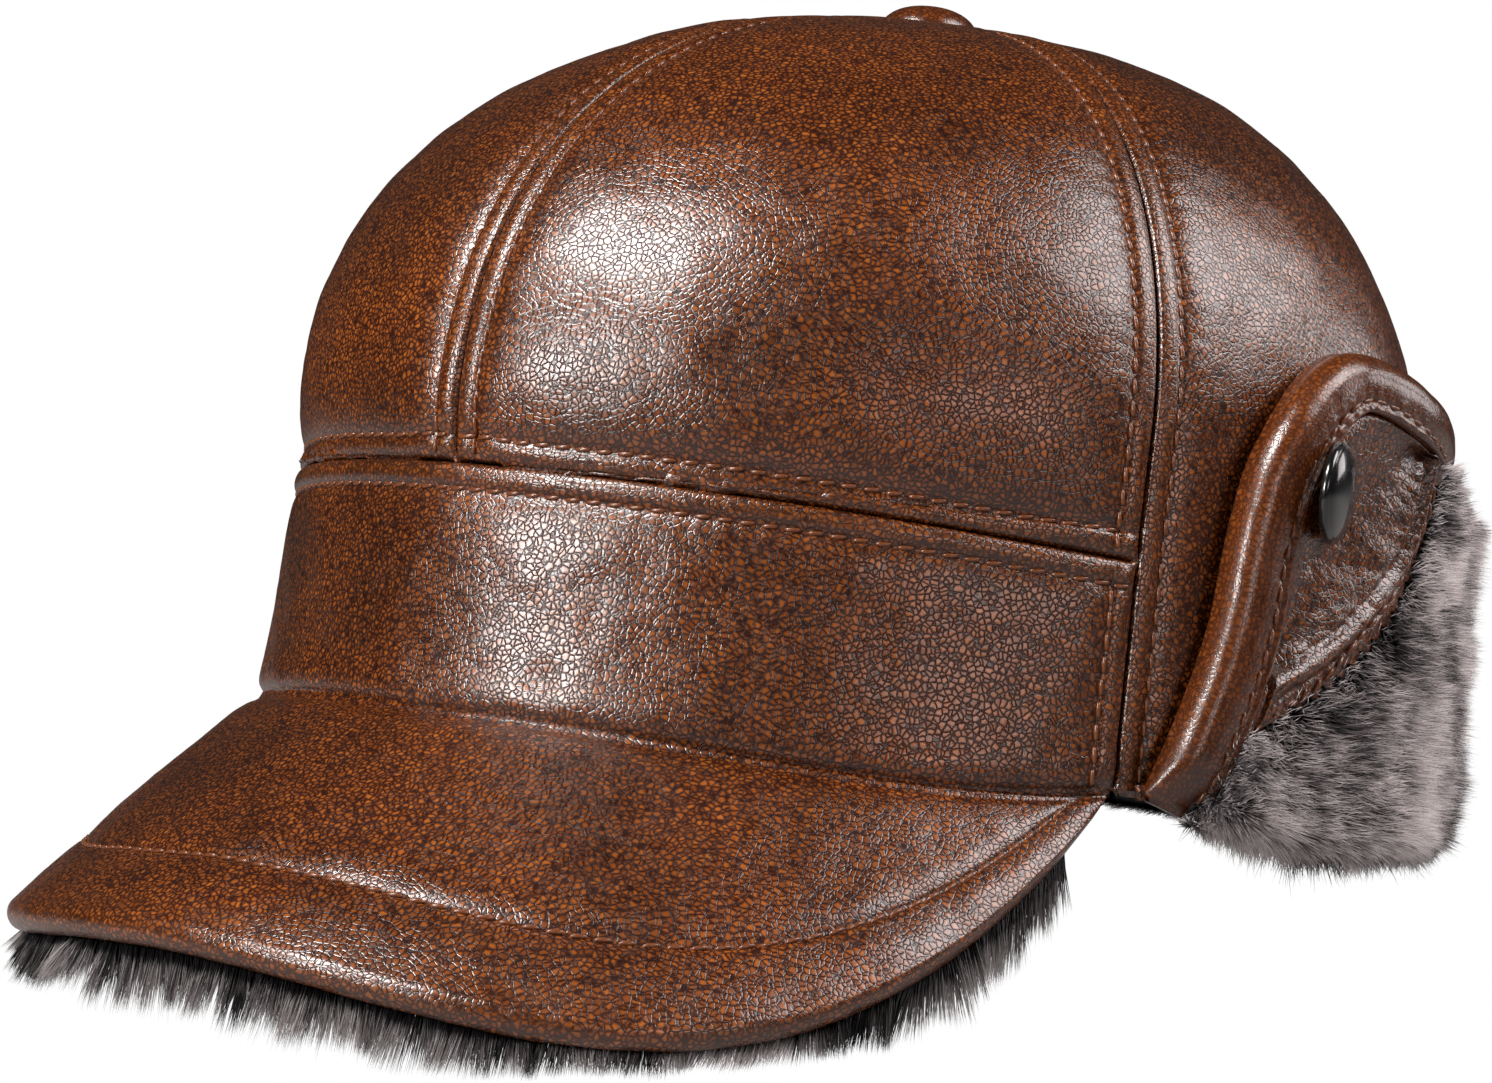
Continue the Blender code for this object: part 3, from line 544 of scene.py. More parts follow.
def ramp(tree, factor, *stops):
    """A colour ramp; each stop is (position, colour)."""
    node = add(tree, "ShaderNodeValToRGB", factor)
    points = node.color_ramp.elements
    while len(points) < len(stops):
        points.new(0.5)
    for point, (position, colour) in zip(points, stops):
        point.position = position
        point.color = (*colour, 1.0) if isinstance(colour, tuple) else (colour, colour, colour, 1.0)
    return node.outputs[0]


def colour_mix(tree, factor, a, b, kind="MIX"):
    node = add(tree, "ShaderNodeMix", data_type="RGBA", blend_type=kind)
    for socket, value in zip([s for s in node.inputs if s.enabled], (factor, a, b)):
        put(tree, socket, value)
    return next(s for s in node.outputs if s.enabled)


def times(colour, k):
    return tuple(k * c for c in colour)


def leather_material(name, dark, mid, lit_fleck_and_wear, roughness, grain=1.0, coat=0.5):
    """Pebbled leather: dark with fine creases, with painted shade in the valleys between the pebbles and a
    painted lit fleck on most pebble tops; rubbed wear tints it towards the fleck colour.
    """
    made, tree, shader = new_material(name)
    place = add(tree, "ShaderNodeTexCoord").outputs["Object"]
    wander = noise(tree, place, 500.0, 2.0).outputs["Color"]
    centred = add(tree, "ShaderNodeVectorMath", wander, (0.5, 0.5, 0.5), operation="SUBTRACT")
    shift = add(tree, "ShaderNodeVectorMath", centred.outputs[0], operation="SCALE", Scale=0.0009)
    moved = add(tree, "ShaderNodeVectorMath", place, shift.outputs[0], operation="ADD").outputs[0]
    pebbles = {"Vector": moved, "Scale": 1080.0}
    rim = add(tree, "ShaderNodeTexVoronoi", feature="DISTANCE_TO_EDGE", **pebbles).outputs["Distance"]
    each = add(tree, "ShaderNodeTexVoronoi", feature="F1", **pebbles).outputs["Color"]
    crease = noise(tree, place, 240.0, 5.0, 0.6).outputs["Fac"]
    clouds = noise(tree, place, 38.0, 3.0).outputs["Fac"]
    pebble = ramp(tree, rim, (0.0, 0.0), (0.13, 0.75), (0.35, 1.0))
    # Painted shade and light: the colour darkens in the grain's valleys, and a lit fleck is painted on the
    # pebble tops
    tops = ramp(tree, rim, (0.04, 0.0), (0.26, 1.0))
    centre = ramp(tree, rim, (0.1, 0.0), (0.38, 1.0))
    lit = product(tree, ramp(tree, each, (0.15, 0.12), (0.85, 1.0)), centre)
    base = colour_mix(tree, tops, dark, mid)
    base = colour_mix(tree, product(tree, lit, 0.7), base, lit_fleck_and_wear)
    shade = ramp(tree, clouds, (0.3, 0.6), (0.7, 1.2))
    base = colour_mix(tree, 1.0, base, shade, "MULTIPLY")
    wear = add(tree, "ShaderNodeAttribute", attribute_name="wear").outputs["Fac"]
    base = colour_mix(tree, product(tree, wear, 0.07), base, times(lit_fleck_and_wear, 0.75))
    rough = add(tree, "ShaderNodeMapRange", Value=crease, From_Min=0.3, From_Max=0.7)
    fill(tree, rough, To_Min=roughness - 0.05, To_Max=roughness + 0.07)
    fine = add(tree, "ShaderNodeBump", Strength=0.34 * grain, Distance=0.00012, Height=pebble)
    both = add(tree, "ShaderNodeBump", Strength=0.15 * grain, Distance=0.0006, Height=crease)
    fill(tree, both, Normal=fine.outputs[0])
    fill(tree, shader, Base_Color=base, Roughness=rough.outputs[0], Specular_IOR_Level=0.5)
    fill(tree, shader, Normal=both.outputs[0], Coat_Normal=both.outputs[0])
    fill(tree, shader, Coat_Weight=coat, Coat_Roughness=0.22)
    return made


def fur_material():
    """Grey faux fur: black at the roots, and tips from charcoal to a pale mauve grey. The black towards the
    roots is partly the fur's own dark underfur and partly painted shade deep in the pile.
    """
    made, tree, shader = new_material("grey_fur")
    along = add(tree, "ShaderNodeAttribute", attribute_name="along").outputs["Fac"]
    shade = add(tree, "ShaderNodeAttribute", attribute_name="shade").outputs["Fac"]
    black, charcoal = (0.01, 0.009, 0.01), (0.07, 0.063, 0.065)
    grey, pale = (0.34, 0.3, 0.305), (0.9, 0.83, 0.83)
    tip = ramp(tree, shade, (0.0, black), (0.25, charcoal), (0.5, grey), (1.0, pale))
    # Partly painted shade: the colour darkens from the tips down to the roots
    grown = ramp(tree, along, (0.3, 0.0), (0.8, 1.0))
    base = colour_mix(tree, grown, (0.006, 0.0055, 0.006), tip)
    fill(tree, shader, Base_Color=base, Roughness=0.5, Specular_IOR_Level=0.35)
    return made


def plush_material(name, colour, scale):
    made, tree, shader = new_material(name)
    place = add(tree, "ShaderNodeTexCoord").outputs["Object"]
    nap = noise(tree, place, scale, 4.0, 0.7).outputs["Fac"]
    clouds = noise(tree, place, 45.0, 2.0).outputs["Fac"]
    base = ramp(tree, nap, (0.3, times(colour, 0.5)), (0.72, colour))
    shade = ramp(tree, clouds, (0.3, 0.75), (0.7, 1.2))
    height = add(tree, "ShaderNodeBump", Strength=0.8, Distance=0.0007, Height=nap)
    fill(tree, shader, Base_Color=colour_mix(tree, 1.0, base, shade, "MULTIPLY"), Normal=height.outputs[0])
    fill(tree, shader, Roughness=0.85, Sheen_Weight=0.5, Sheen_Roughness=0.4)
    return made


def plain_material(name, colour, roughness, metallic=0.0, coat=0.0, scratch=600.0):
    """A hard finish with faint unevenness in its gloss."""
    made, tree, shader = new_material(name)
    place = add(tree, "ShaderNodeTexCoord").outputs["Object"]
    marks = noise(tree, place, scratch, 4.0, 0.6).outputs["Fac"]
    base = ramp(tree, marks, (0.35, times(colour, 0.85)), (0.65, colour))
    rough = ramp(tree, marks, (0.3, max(0.02, roughness - 0.05)), (0.7, roughness + 0.05))
    height = add(tree, "ShaderNodeBump", Strength=0.15, Distance=0.00005, Height=marks)
    fill(tree, shader, Base_Color=base, Roughness=rough, Normal=height.outputs[0])
    fill(tree, shader, Metallic=metallic, Coat_Weight=coat, Coat_Roughness=0.08)
    return made


LEATHER = leather_material(
    "brown_leather", (0.02, 0.0035, 0.0007), (0.125, 0.028, 0.0035), (0.38, 0.11, 0.014), 0.28
)
ROLL_LEATHER = leather_material(
    "rolled_leather", (0.05, 0.011, 0.002), (0.125, 0.03, 0.004), (0.22, 0.06, 0.009), 0.27, 0.5, 0.4
)
SMOOTH_LEATHER = leather_material(
    "sweatband_leather", (0.03, 0.012, 0.006), (0.085, 0.032, 0.016), (0.13, 0.05, 0.024), 0.45, 0.4, 0.1
)
THREAD = plain_material("thread", (0.15, 0.045, 0.014), 0.3, coat=0.2, scratch=2500.0)
FUR = fur_material()
PLUSH = plush_material("lining_plush", (0.06, 0.052, 0.052), 900.0)
BOARD = plain_material("visor_board", (0.03, 0.03, 0.03), 0.6)
BLACK = plain_material("black_enamel", (0.006, 0.006, 0.0065), 0.2, coat=0.7)
METAL = plain_material("snap_metal", (0.5, 0.48, 0.44), 0.3, metallic=1.0)

sewing = Sewing()


# ---- crown


def gore(seam_a, seam_b, low, rows):
    """Grid of a gore's places: angle, height, distances to its lower edge and both seams, their scale."""
    fine = np.linspace(seam_a, seam_b, 121)
    all_z = dome_heights(fine, low(fine), TOP_HOLE, np.linspace(0.0, 1.0, 500)[:, None]).T
    heights, climbs = [], []
    for line, z in zip(crown_point(fine[:, None], all_z), all_z):
        arc = walked(line)
        climb, _ = near_spacing(arc[-1], rows, end=False)
        heights.append(np.interp(climb, arc, z))
        climbs.append(climb)
    found = []
    for z, climb in zip(np.transpose(heights), np.transpose(climbs)):
        run = walked(crown_point(fine, z))
        across, k = near_spacing(run[-1], 44)
        at = np.clip(across, SEAM_GAP, run[-1] - SEAM_GAP)
        place = [np.interp(at, run, values) for values in (fine, z, climb)]
        found.append(place + [across / k, (run[-1] - across) / k, np.full(len(at), k)])
    return [np.array(values).T for values in zip(*found)]


def leather_waves(p):
    """Slow unevenness of sewn leather, in mm."""
    return 0.32 * layered(p, 22.0, 3) + 0.12 * layered(p, 7.0, 9)


def crown_pieces():
    for index, part in enumerate(PARTS):
        in_front = part == "front"
        low, rows = (above_band, 150) if in_front else (rim_height, 190)
        theta, z, climb, d_a, d_b, k = gore(SEAMS[index], SEAMS[index + 1], low, rows)
        base = crown_point(theta, z)
        near = np.minimum(d_a, d_b)
        relief = k * (seam_relief(d_a, climb, 0.42) + seam_relief(d_b, climb, 0.42))
        wear, calm = seam_wear(near), calm_near(near)
        if in_front:
            reach = k * HALF_WIDTH * (theta - SEAMS[index])
            relief = relief * smooth(climb / 3.0) + seam_relief(climb, reach, 0.5) * smooth(near / 2.0)
            wear, calm = np.maximum(wear, seam_wear(climb)), calm_near(near, climb)
        p = base + grid_normals(base) * (relief + leather_waves(base) * calm * k)[..., None]
        up = grid_normals(p)
        tuck = p[:, :1] - up[:, :1] - np.array([0.0, 0.0, 1.0])
        whole, rubbed = np.concatenate([tuck, p], axis=1), np.pad(wear, ((0, 0), (1, 0)))
        for side, word in SIDES:
            leather("crown", f"crown_{part}_{word}", whole, CROWN_LEATHER, rubbed, side)
            sewing.seams("crown", p, 2, None, side)
            if in_front:
                sewing.row("crown", p[3:-3, STITCH_COLUMN], up[3:-3, STITCH_COLUMN], side)


def front_band():
    """One piece of leather between the side seams, puffed along its upper edge."""
    fine = np.linspace(-SEAMS[1], SEAMS[1], 241)
    run = walked(crown_point(fine, 20.0))
    across, _ = near_spacing(run[-1], 190)
    theta = np.interp(np.clip(across, SEAM_GAP, run[-1] - SEAM_GAP), run, fine)[:, None]
    low, high = rim_height(theta) - 0.6, band_seam_height(theta) - SEAM_GAP
    below = np.linspace(0.0, 1.0, 46)[1:] * (high - low - NEAR[-1]) + NEAR[-1]
    depth = np.concatenate([NEAR + 0.0 * theta, below], axis=1)[:, ::-1]
    z, theta = high - depth, theta + 0.0 * depth
    base = crown_point(theta, z)
    d_a = across[:, None] + 0.0 * z
    near = np.minimum(d_a, run[-1] - d_a)
    relief = seam_relief(near, z, 0.3) * smooth(depth / 3.0)
    relief = relief + seam_relief(depth, d_a, 0.75) * smooth(near / 2.0)
    bottom = z - rim_height(theta)
    relief = relief - 0.8 * bump(bottom, 0.9) + 0.35 * bump(bottom - 3.5, 2.5)
    p = base + grid_normals(base) * (relief + leather_waves(base) * calm_near(near, depth))[..., None]
    leather("crown", "front_band", p, CROWN_LEATHER, np.maximum(seam_wear(near), seam_wear(depth)))
    row = np.s_[3:-3, -1 - STITCH_COLUMN]
    sewing.row("crown", p[row], grid_normals(p)[row])
    sewing.seams("crown", p, 1, -6)


def button():
    """The leather-covered button on top."""
    top = np.array([0.0, TOP_SHIFT_BACK, HEIGHT + 0.4])
    profile = [(0.0, BUTTON_LIFT + BUTTON_HEIGHT)]
    for a in np.radians(np.linspace(90, -35, 24))[1:]:
        radius = BUTTON_RADIUS * math.cos(a) ** (0.85 if a > 0 else 1.0)
        profile.append((radius, BUTTON_LIFT + BUTTON_HEIGHT * math.sin(a)))
    profile += [(5.0, -1.9), (0.0, -1.9)]
    piece = turned("top_button_leather", top, (0.0, 0.0, 1.0), profile, ROLL_LEATHER)
    finish_piece(piece, "crown", "brown_leather", "top_button_cover")


# ---- visor


def visor_surface(t, share, depth, inset):
    """Points under the visor's top: t runs round the rim, share from the crown to the edge."""
    crown = wall_point(SEAMS[1] * t, 0.0, VISOR_GAP)
    corner = FRONT_LENGTH * math.cos(VISOR_CORNER)
    a = math.pi / 2.0 * t
    reach = FRONT_LENGTH + VISOR_REACH - corner - inset
    x = mix(crown[..., 0], (VISOR_HALF_WIDTH - inset) * np.sin(a), share)
    forward = mix(-crown[..., 1], corner + reach * np.abs(np.cos(a)) ** VISOR_EDGE_POWER, share)
    n = unit(np.stack([x / VISOR_ARCH_RADIUS, np.full_like(x, -VISOR_SLOPE), np.ones_like(x)], -1))
    p = np.stack([x, -forward, visor_height(x, forward)], -1)
    return p - n * np.asarray(depth)[..., None], n


def visor():
    t = np.sin(np.linspace(-VISOR_SWEEP, VISOR_SWEEP, 221)) / math.sin(VISOR_SWEEP) * 0.988
    tt, share = grid(t, np.linspace(-0.03, 1.0, 72))
    base, n = visor_surface(tt, share, 0.0, VISOR_ROLL)
    edge = base[:, -1]
    width = np.linalg.norm(edge - base[:, 0], axis=1)[:, None]
    to_edge, to_crown = width * (1.0 - share), width * share
    # The padding between the edge and its row of stitches, and the puff behind it
    puffed = 0.5 * (1.0 - bump(np.maximum(to_edge - VISOR_STITCH, 0.0), 3.0)) * smooth(to_crown / 6.0)
    padding = 0.35 * np.sin(math.pi * np.clip(to_edge / VISOR_STITCH, 0.0, 1.0))
    relief = puffed + padding - 0.4 * bump(to_edge - VISOR_STITCH, 0.7) - 0.5 * bump(to_crown, 1.2)
    top = base + n * (relief + 0.9 * leather_waves(base) * smooth(to_crown / 8.0))[..., None]
    # The leather rolls round the edge and ends in a narrow hem below
    outward = unit(edge - base[:, -4])
    normal = unit(np.cross(outward, np.gradient(edge, axis=0)))
    normal *= np.sign((normal * n[:, -1]).sum(1))[:, None]
    a = np.radians(np.linspace(80.0, -90.0, 15))
    turn = np.cos(a)[:, None] * outward[:, None] + (np.sin(a) - 1.0)[:, None] * normal[:, None]
    small = np.clip(width / 10.0, 0.25, 1.0)[:, :, None]
    rolled = top[:, -1:] + turn * VISOR_ROLL * small
    inward = -outward[:, None] * np.linspace(0.8, 6.5, 6)[:, None]
    hem = rolled[:, -1:] + (inward - normal[:, None] * 0.15) * small
    p = np.concatenate([top, rolled, hem], axis=1)[:, ::-1]
    rubbed = np.tile(bump(a - 0.6, 0.8), (len(t), 1))
    wear = np.concatenate([0.6 * bump(to_edge - 2.0, 2.0), rubbed, 0.0 * hem[..., 0]], axis=1)
    piece = skin("visor_skin", p, VISOR_LEATHER, LEATHER, wear[:, ::-1])
    finish_piece(piece, "crown", "brown_leather", "visor_leather")
    wide = np.flatnonzero(width[:, 0] > VISOR_STITCH + 0.5)
    path = [at_distance(VISOR_STITCH, to_edge[i, ::-1], top[i, ::-1]) for i in wide]
    sewing.row("crown", np.array(path), n[wide, -20])


# ---- fur


def strands(roots, tips, width, rng):
    """Thin tapered strands: one closed three-sided spike each. Points and triangles."""
    run = unit(tips - roots)
    a = unit(np.cross(run, rng.normal(size=roots.shape)))
    b = np.cross(run, a)
    points = np.empty((len(roots), 4, 3))
    for i in range(3):
        turn = 2.0 * math.pi * i / 3.0
        points[:, i] = roots + (a * math.cos(turn) + b * math.sin(turn)) * width[:, None]
    points[:, 3] = tips
    faces = (STRAND_FACES + np.arange(len(roots))[:, None, None] * 4).reshape(-1, 3)
    return points.reshape(-1, 3), faces


def pile(body, node, ground, roots, tips, side, seed, curl=1.3):
    """A fur piece: a dark bumpy ground with a close coat of strands on it, combed into tufts."""
    rng = np.random.default_rng(seed)
    count = len(roots)
    tuft = np.stack([field(tips, 2.8, seed + k) for k in range(3)], -1)
    tuft += 0.8 * np.stack([field(tips, 6.5, seed + 5 + k) for k in range(3)], -1)
    tips = tips + tuft * curl + rng.normal(size=tips.shape) * 0.45
    tips = on_table(tips, rng.random(count) * 0.8)
    patches = 0.8 * field(tips, 13.0, seed + 11) + 0.6 * field(tips, 5.0, seed + 12)
    tone = 0.66 + 0.66 * (patches + 0.7 * field(tips, 1.9, seed + 13)) + 0.26 * rng.normal(size=count)
    points, faces = strands(roots, tips, STRAND_WIDTH * (0.8 + 0.4 * rng.random(count)), rng)
    low, quads = ground
    faces = np.concatenate([quads[:, :3], quads[:, [0, 2, 3]], faces + len(low)])
    points = np.concatenate([low, points])
    if side < 0:
        points, faces = points * MIRROR, faces[:, ::-1]
    # The ground and the strands' roots take the black root colour: partly dark underfur, partly painted
    # shade in the pile
    along = np.pad(np.tile([0.0, 0.0, 0.0, 1.0], count), (len(low), 0))
    shade = np.pad(np.repeat(np.clip(tone, 0.0, 1.0), 4), (len(low), 0))
    piece = new_object(node + "_pile", points, [faces], FUR, along=along, shade=shade)
    finish_piece(piece, body, "grey_fur", node)


def visor_fur():
    rng = np.random.default_rng(41)
    tt, share = grid(np.linspace(-0.94, 0.94, 121), np.linspace(1.0, 0.1, 26))
    thick = 3.4 * np.minimum(1.0, 5.0 * (1.0 - share) + 0.25)
    top, _ = visor_surface(tt, share, VISOR_DEPTH, VISOR_FUR_INSET)
    low, _ = visor_surface(tt, share, VISOR_DEPTH + thick, VISOR_FUR_INSET)
    low = on_table(low + 0.5 * field(low, 5.0, 2)[..., None], 0.6)
    t = rng.uniform(-0.97, 0.97, STRANDS)
    share = 1.0 - 0.9 * rng.random(STRANDS) ** 1.7
    roots, n = visor_surface(t, share, VISOR_DEPTH + 0.5 + rng.random(STRANDS), VISOR_FUR_INSET)
    near = smooth((share - 0.7) / 0.3)
    away = unit(roots * np.array([1.0, 1.0, 0.0])) * 0.25
    way = unit(mix(-n, np.array([0.0, 0.0, -1.0]) + away, near[:, None]))
    tips = roots + way * (7.0 + 1.5 * near + 1.8 * rng.random(STRANDS))[:, None]
    pile("crown", "visor_fur", closed_grid(top, low), roots, tips, 1, 50, curl=2.3)


# ---- flap


class Panel:
    """One stiff panel of the flap: its body, its span along the fold and its free edge."""

    def __init__(self, kind, start, end, side, word):
        self.body, self.is_ear, self.side = f"{kind}_{word}", kind == "ear", side
        self.start, self.end = start, end
        self.left, self.right = start * HALF_WIDTH, end * HALF_WIDTH

    def edge(self, w):
        """Flat points of the free edge, at w from 0 to 1."""
        if self.is_ear:
            return flat_curve(EAR_EDGE, w)
        return np.stack([mix(self.left, self.right, w), np.full_like(w, NECK_TOP)], -1)

    def moved_in(self, w, inset):
        """The free edge moved in by inset, kept above the fold."""
        run = self.edge(np.minimum(w + 0.01, 1.0)) - self.edge(np.maximum(w - 0.01, 0.0))
        p = self.edge(w) + unit(np.stack([run[..., 1], -run[..., 0]], -1)) * np.asarray(inset)[..., None]
        p[..., 1] = np.maximum(p[..., 1], FOLD_HEIGHT + 0.6)
        return p


def to_polyline(flat, line):
    """Signed distance of flat points from a polyline: positive on its left."""
    best = np.full(flat.shape[:-1], 1e9)
    signed = np.zeros(flat.shape[:-1])
    for a, b in zip(line[:-1], line[1:]):
        run, here = b - a, flat - a
        t = np.clip((here @ run) / (run @ run), 0.0, 1.0)
        gap = np.linalg.norm(here - t[..., None] * run, axis=-1)
        turn = run[0] * here[..., 1] - run[1] * here[..., 0]
        closer = gap < best
        best = np.where(closer, gap, best)
        signed = np.where(closer, np.sign(turn) * gap, signed)
    return signed


FACING_LINE = flat_curve(FACING_EDGE, np.linspace(0.0, 1.0, 25))
EAR_LINE = flat_curve(EAR_EDGE, np.linspace(0.0, 1.0, 49))


def panel_edge(panel):
    """The padded leather roll: a section of (inset, out) carried along the free edge."""
    section = [(EDGE_WIDTH - 0.2, 3.6), (5.0, 3.3), (1.2, 3.0), (0.2, 3.3)]
    arc = np.radians(np.linspace(-150.0, -285.0, 17))
    section += [(3.0 + 2.95 * math.cos(a), 6.0 + 3.3 * math.sin(a)) for a in arc]
    section += [(4.0, 9.25), (5.0, 9.0), (6.0, 8.85), (6.8, 8.6), (7.3, 8.3), (7.8, 8.5), (8.5, 8.75)]
    section += [(9.0, 8.5), (EDGE_WIDTH, 7.8), (EDGE_WIDTH, 6.0)]
    insets, outs = np.array(section).T
    w = np.linspace(0.0, 1.0, 181 if panel.is_ear else 91)
    ww, inset = grid(w, insets)
    flat = panel.moved_in(ww, inset)
    flat[..., 0] = np.clip(flat[..., 0], panel.left, panel.right - PANEL_GAP / 2.0)
    slim = smooth((ww - 0.8) / 0.2) if panel.is_ear else 1.0
    out = 3.0 + (outs - 3.0) * mix(1.0, 0.55, slim)
    if panel.is_ear:
        out = mix(3.0 + (out - 3.0) * 0.2, out, np.sqrt(smooth(ww / 0.09)))
    p = flat_point(flat, out)
    calm = smooth((out - 5.0) / 2.0)
    n = grid_normals(p)
    if (n * (p - p.mean(1, keepdims=True))).sum() < 0:
        n = -n
    phase = np.cos(2.0 * math.pi * walked(panel.edge(w)) / STITCH_PITCH)[:, None]
    ripple = 0.12 * phase * bump(inset - EDGE_SEAM, 1.0)
    p = p + n * (calm * (0.16 * layered(p, 9.0, 21) - ripple))[..., None]
    wear = bump(inset - 1.2, 1.6) * calm
    node = panel.body + "_edge"
    piece = tube(node + "_roll", p[:, ::-1], ROLL_LEATHER, wear[:, ::-1], panel.side)
    finish_piece(piece, panel.body, "brown_leather", node)
    if panel.is_ear:
        row = int(np.argmin(abs(insets - EDGE_SEAM) + 10.0 * (outs < 7.0)))
        sewing.row(panel.body, p[4:-8, row], n[4:-8, row], panel.side)


def panel_leather(panel):
    w, share = grid(np.linspace(0.0, 1.0, 90), np.linspace(0.0, 1.0, 80))
    top = panel.moved_in(w, np.full_like(w, 0.9))
    along = mix(panel.left, panel.right, w)
    fold = np.stack([along, np.maximum(FOLD_HEIGHT, fur_low(along) + 1.2)], -1)
    flat = mix(fold, top, share[..., None])
    low = panel.left + (0.0 if panel.is_ear else PANEL_GAP / 2.0)
    flat[..., 0] = np.clip(flat[..., 0], low, panel.right - PANEL_GAP / 2.0)
    p, wear = flat_point(flat, FLAP_OUT), bump(share - 1.0, 0.05)
    leather(panel.body, panel.body + "_leather", p, FLAP_LEATHER, wear, panel.side)


def facing(ear):
    """The leather under the snap, hollowed, with a welt along its pinked back edge."""
    across = np.concatenate([np.linspace(0.0, 0.7, 40), np.linspace(0.7, 1.0, 41)[1:]])
    across, up = grid(across, np.linspace(0.02, 1.0, 170))
    back = flat_curve(FACING_EDGE, 0.97 * up)
    front = ear.moved_in(mix(0.11, 0.83, up), np.full_like(up, EDGE_WIDTH + 0.1))
    width = np.linalg.norm(back - front, axis=-1)
    to_back, to_front = width * (1.0 - across), width * across
    teeth = 2.0 * np.abs((walked(back[0]) / TOOTH_WIDTH) % 1.0 - 0.5)
    shift = (teeth * TOOTH_DEPTH - 0.5) * smooth(1.0 - to_back / 2.4)
    flat = mix(front, back, across[..., None]) + unit(back - front) * shift[..., None]
    size = smooth(width / 9.0)
    middle = np.clip((to_front - 0.5) / np.maximum(width - 6.5, 1.0), 0.0, 1.0)
    welt = 0.85 * bump(to_back - FACING_WELT, 1.25) - 0.35 * bump(to_back - FACING_SEAM, 0.5)
    relief = welt - 0.45 * bump(to_back - 6.2, 0.6) - 1.1 - 2.2 * np.sin(math.pi * middle)
    out = FACING_OUT + relief * size - 0.5 * smooth(1.0 - to_back / 3.0) - 0.5 * bump(to_front, 0.8)
    base = flat_point(flat, out)
    wrinkle = 0.16 * layered(base, 6.0, 31) + 0.12 * layered(base * np.array([1.0, 1.0, 2.2]), 4.0, 37)
    p = base - grid_normals(base) * (wrinkle * size * smooth(to_front / 3.0))[..., None]
    wear = np.clip(1.2 * smooth(1.0 - to_back / 2.0) + 0.6 * bump(to_back - FACING_WELT, 1.2), 0.0, 1.0)
    leather(ear.body, ear.body + "_facing", p, FACING_LEATHER, wear, ear.side)
    column = int(np.argmin(abs(to_back[:, 80] - FACING_SEAM)))
    sewing.row(ear.body, p[column, 12:-6], grid_normals(p)[column, 12:-6], ear.side)


def snap_cap(ear):
    near = crown_point(SNAP_ANGLE + np.array([-0.01, 0.01]), SNAP_HEIGHT)
    climb = crown_point(SNAP_ANGLE, SNAP_HEIGHT + np.array([-0.5, 0.5]))
    outward = unit(np.cross(near[1] - near[0], climb[1] - climb[0]))
    place = crown_point(SNAP_ANGLE, SNAP_HEIGHT) + outward * SNAP_OUT
    back = np.array([math.cos(SNAP_ANGLE), math.sin(SNAP_ANGLE), 0.0])
    outward = unit(outward * math.cos(SNAP_TURN) + back * math.sin(SNAP_TURN))
    place, outward = place * [ear.side, 1, 1], outward * [ear.side, 1, 1]
    r = SNAP_RADIUS
    profile = [(r * 0.97 * math.sin(a), 0.9 + 2.4 * math.cos(a)) for a in np.radians(range(0, 76, 5))]
    profile += [(r - 0.12, 1.35), (r, 1.0), (r, 0.6), (r - 0.15, 0.25), (r - 0.5, 0.0)]
    profile += [(1.6, 0.0), (1.6, -3.9), (0.0, -3.9)]
    node = ear.body + "_snap_cap"
    piece = turned(node + "_enamel", place, outward, profile, BLACK, steps=128)
    finish_piece(piece, ear.body, "black_enamel", node)


def pile_profile(low, s, top, is_ear):
    """Root and tip of a strand: s runs from behind the fold (0) up to the free edge (1)."""
    wrap, crest = 13.0, 9.0
    centre = low + 5.8
    wall = top - centre
    at = s * (wrap + wall + crest)
    angle = math.radians(125.0) * np.clip(1.0 - at / wrap, 0.0, 1.0)
    over = math.radians(0.0 if is_ear else 95.0) * np.clip((at - wrap - wall) / crest, 0.0, 1.0)
    level = centre + np.clip(at - wrap, 0.0, wall)

    def bent(wrapped, straight, rolled):
        return np.where(over > 0, rolled, np.where(angle > 0, wrapped, straight))

    root_out = bent(5.2 + 1.4 * np.cos(angle), 6.6, 3.6 + 3.0 * np.cos(over))
    root_z = bent(centre - 1.8 * np.sin(angle), level, top - 2.0 + 2.0 * np.sin(over))
    tip_out = bent(6.2 + 7.2 * np.cos(angle), 13.4, 4.2 + 9.0 * np.cos(over))
    tip_z = bent(centre - 5.6 * np.sin(angle), level, top - 2.0 + 6.0 * np.sin(over))
    return root_out, root_z, tip_out, tip_z


def fur_low(x):
    """The lowest height of the pile along the fold: it thins out towards the ear's front corner."""
    turn = np.degrees(x / HALF_WIDTH)
    places = [66.7, 71.6, 75.8, 79.3, 84.2, 90.4, 106.0, 125.0, 143.0]
    return np.interp(turn, places, [-2.6, -5.6, -7.6, -8.8, -9.4, -8.6, -7.4, -7.0, -11.0])


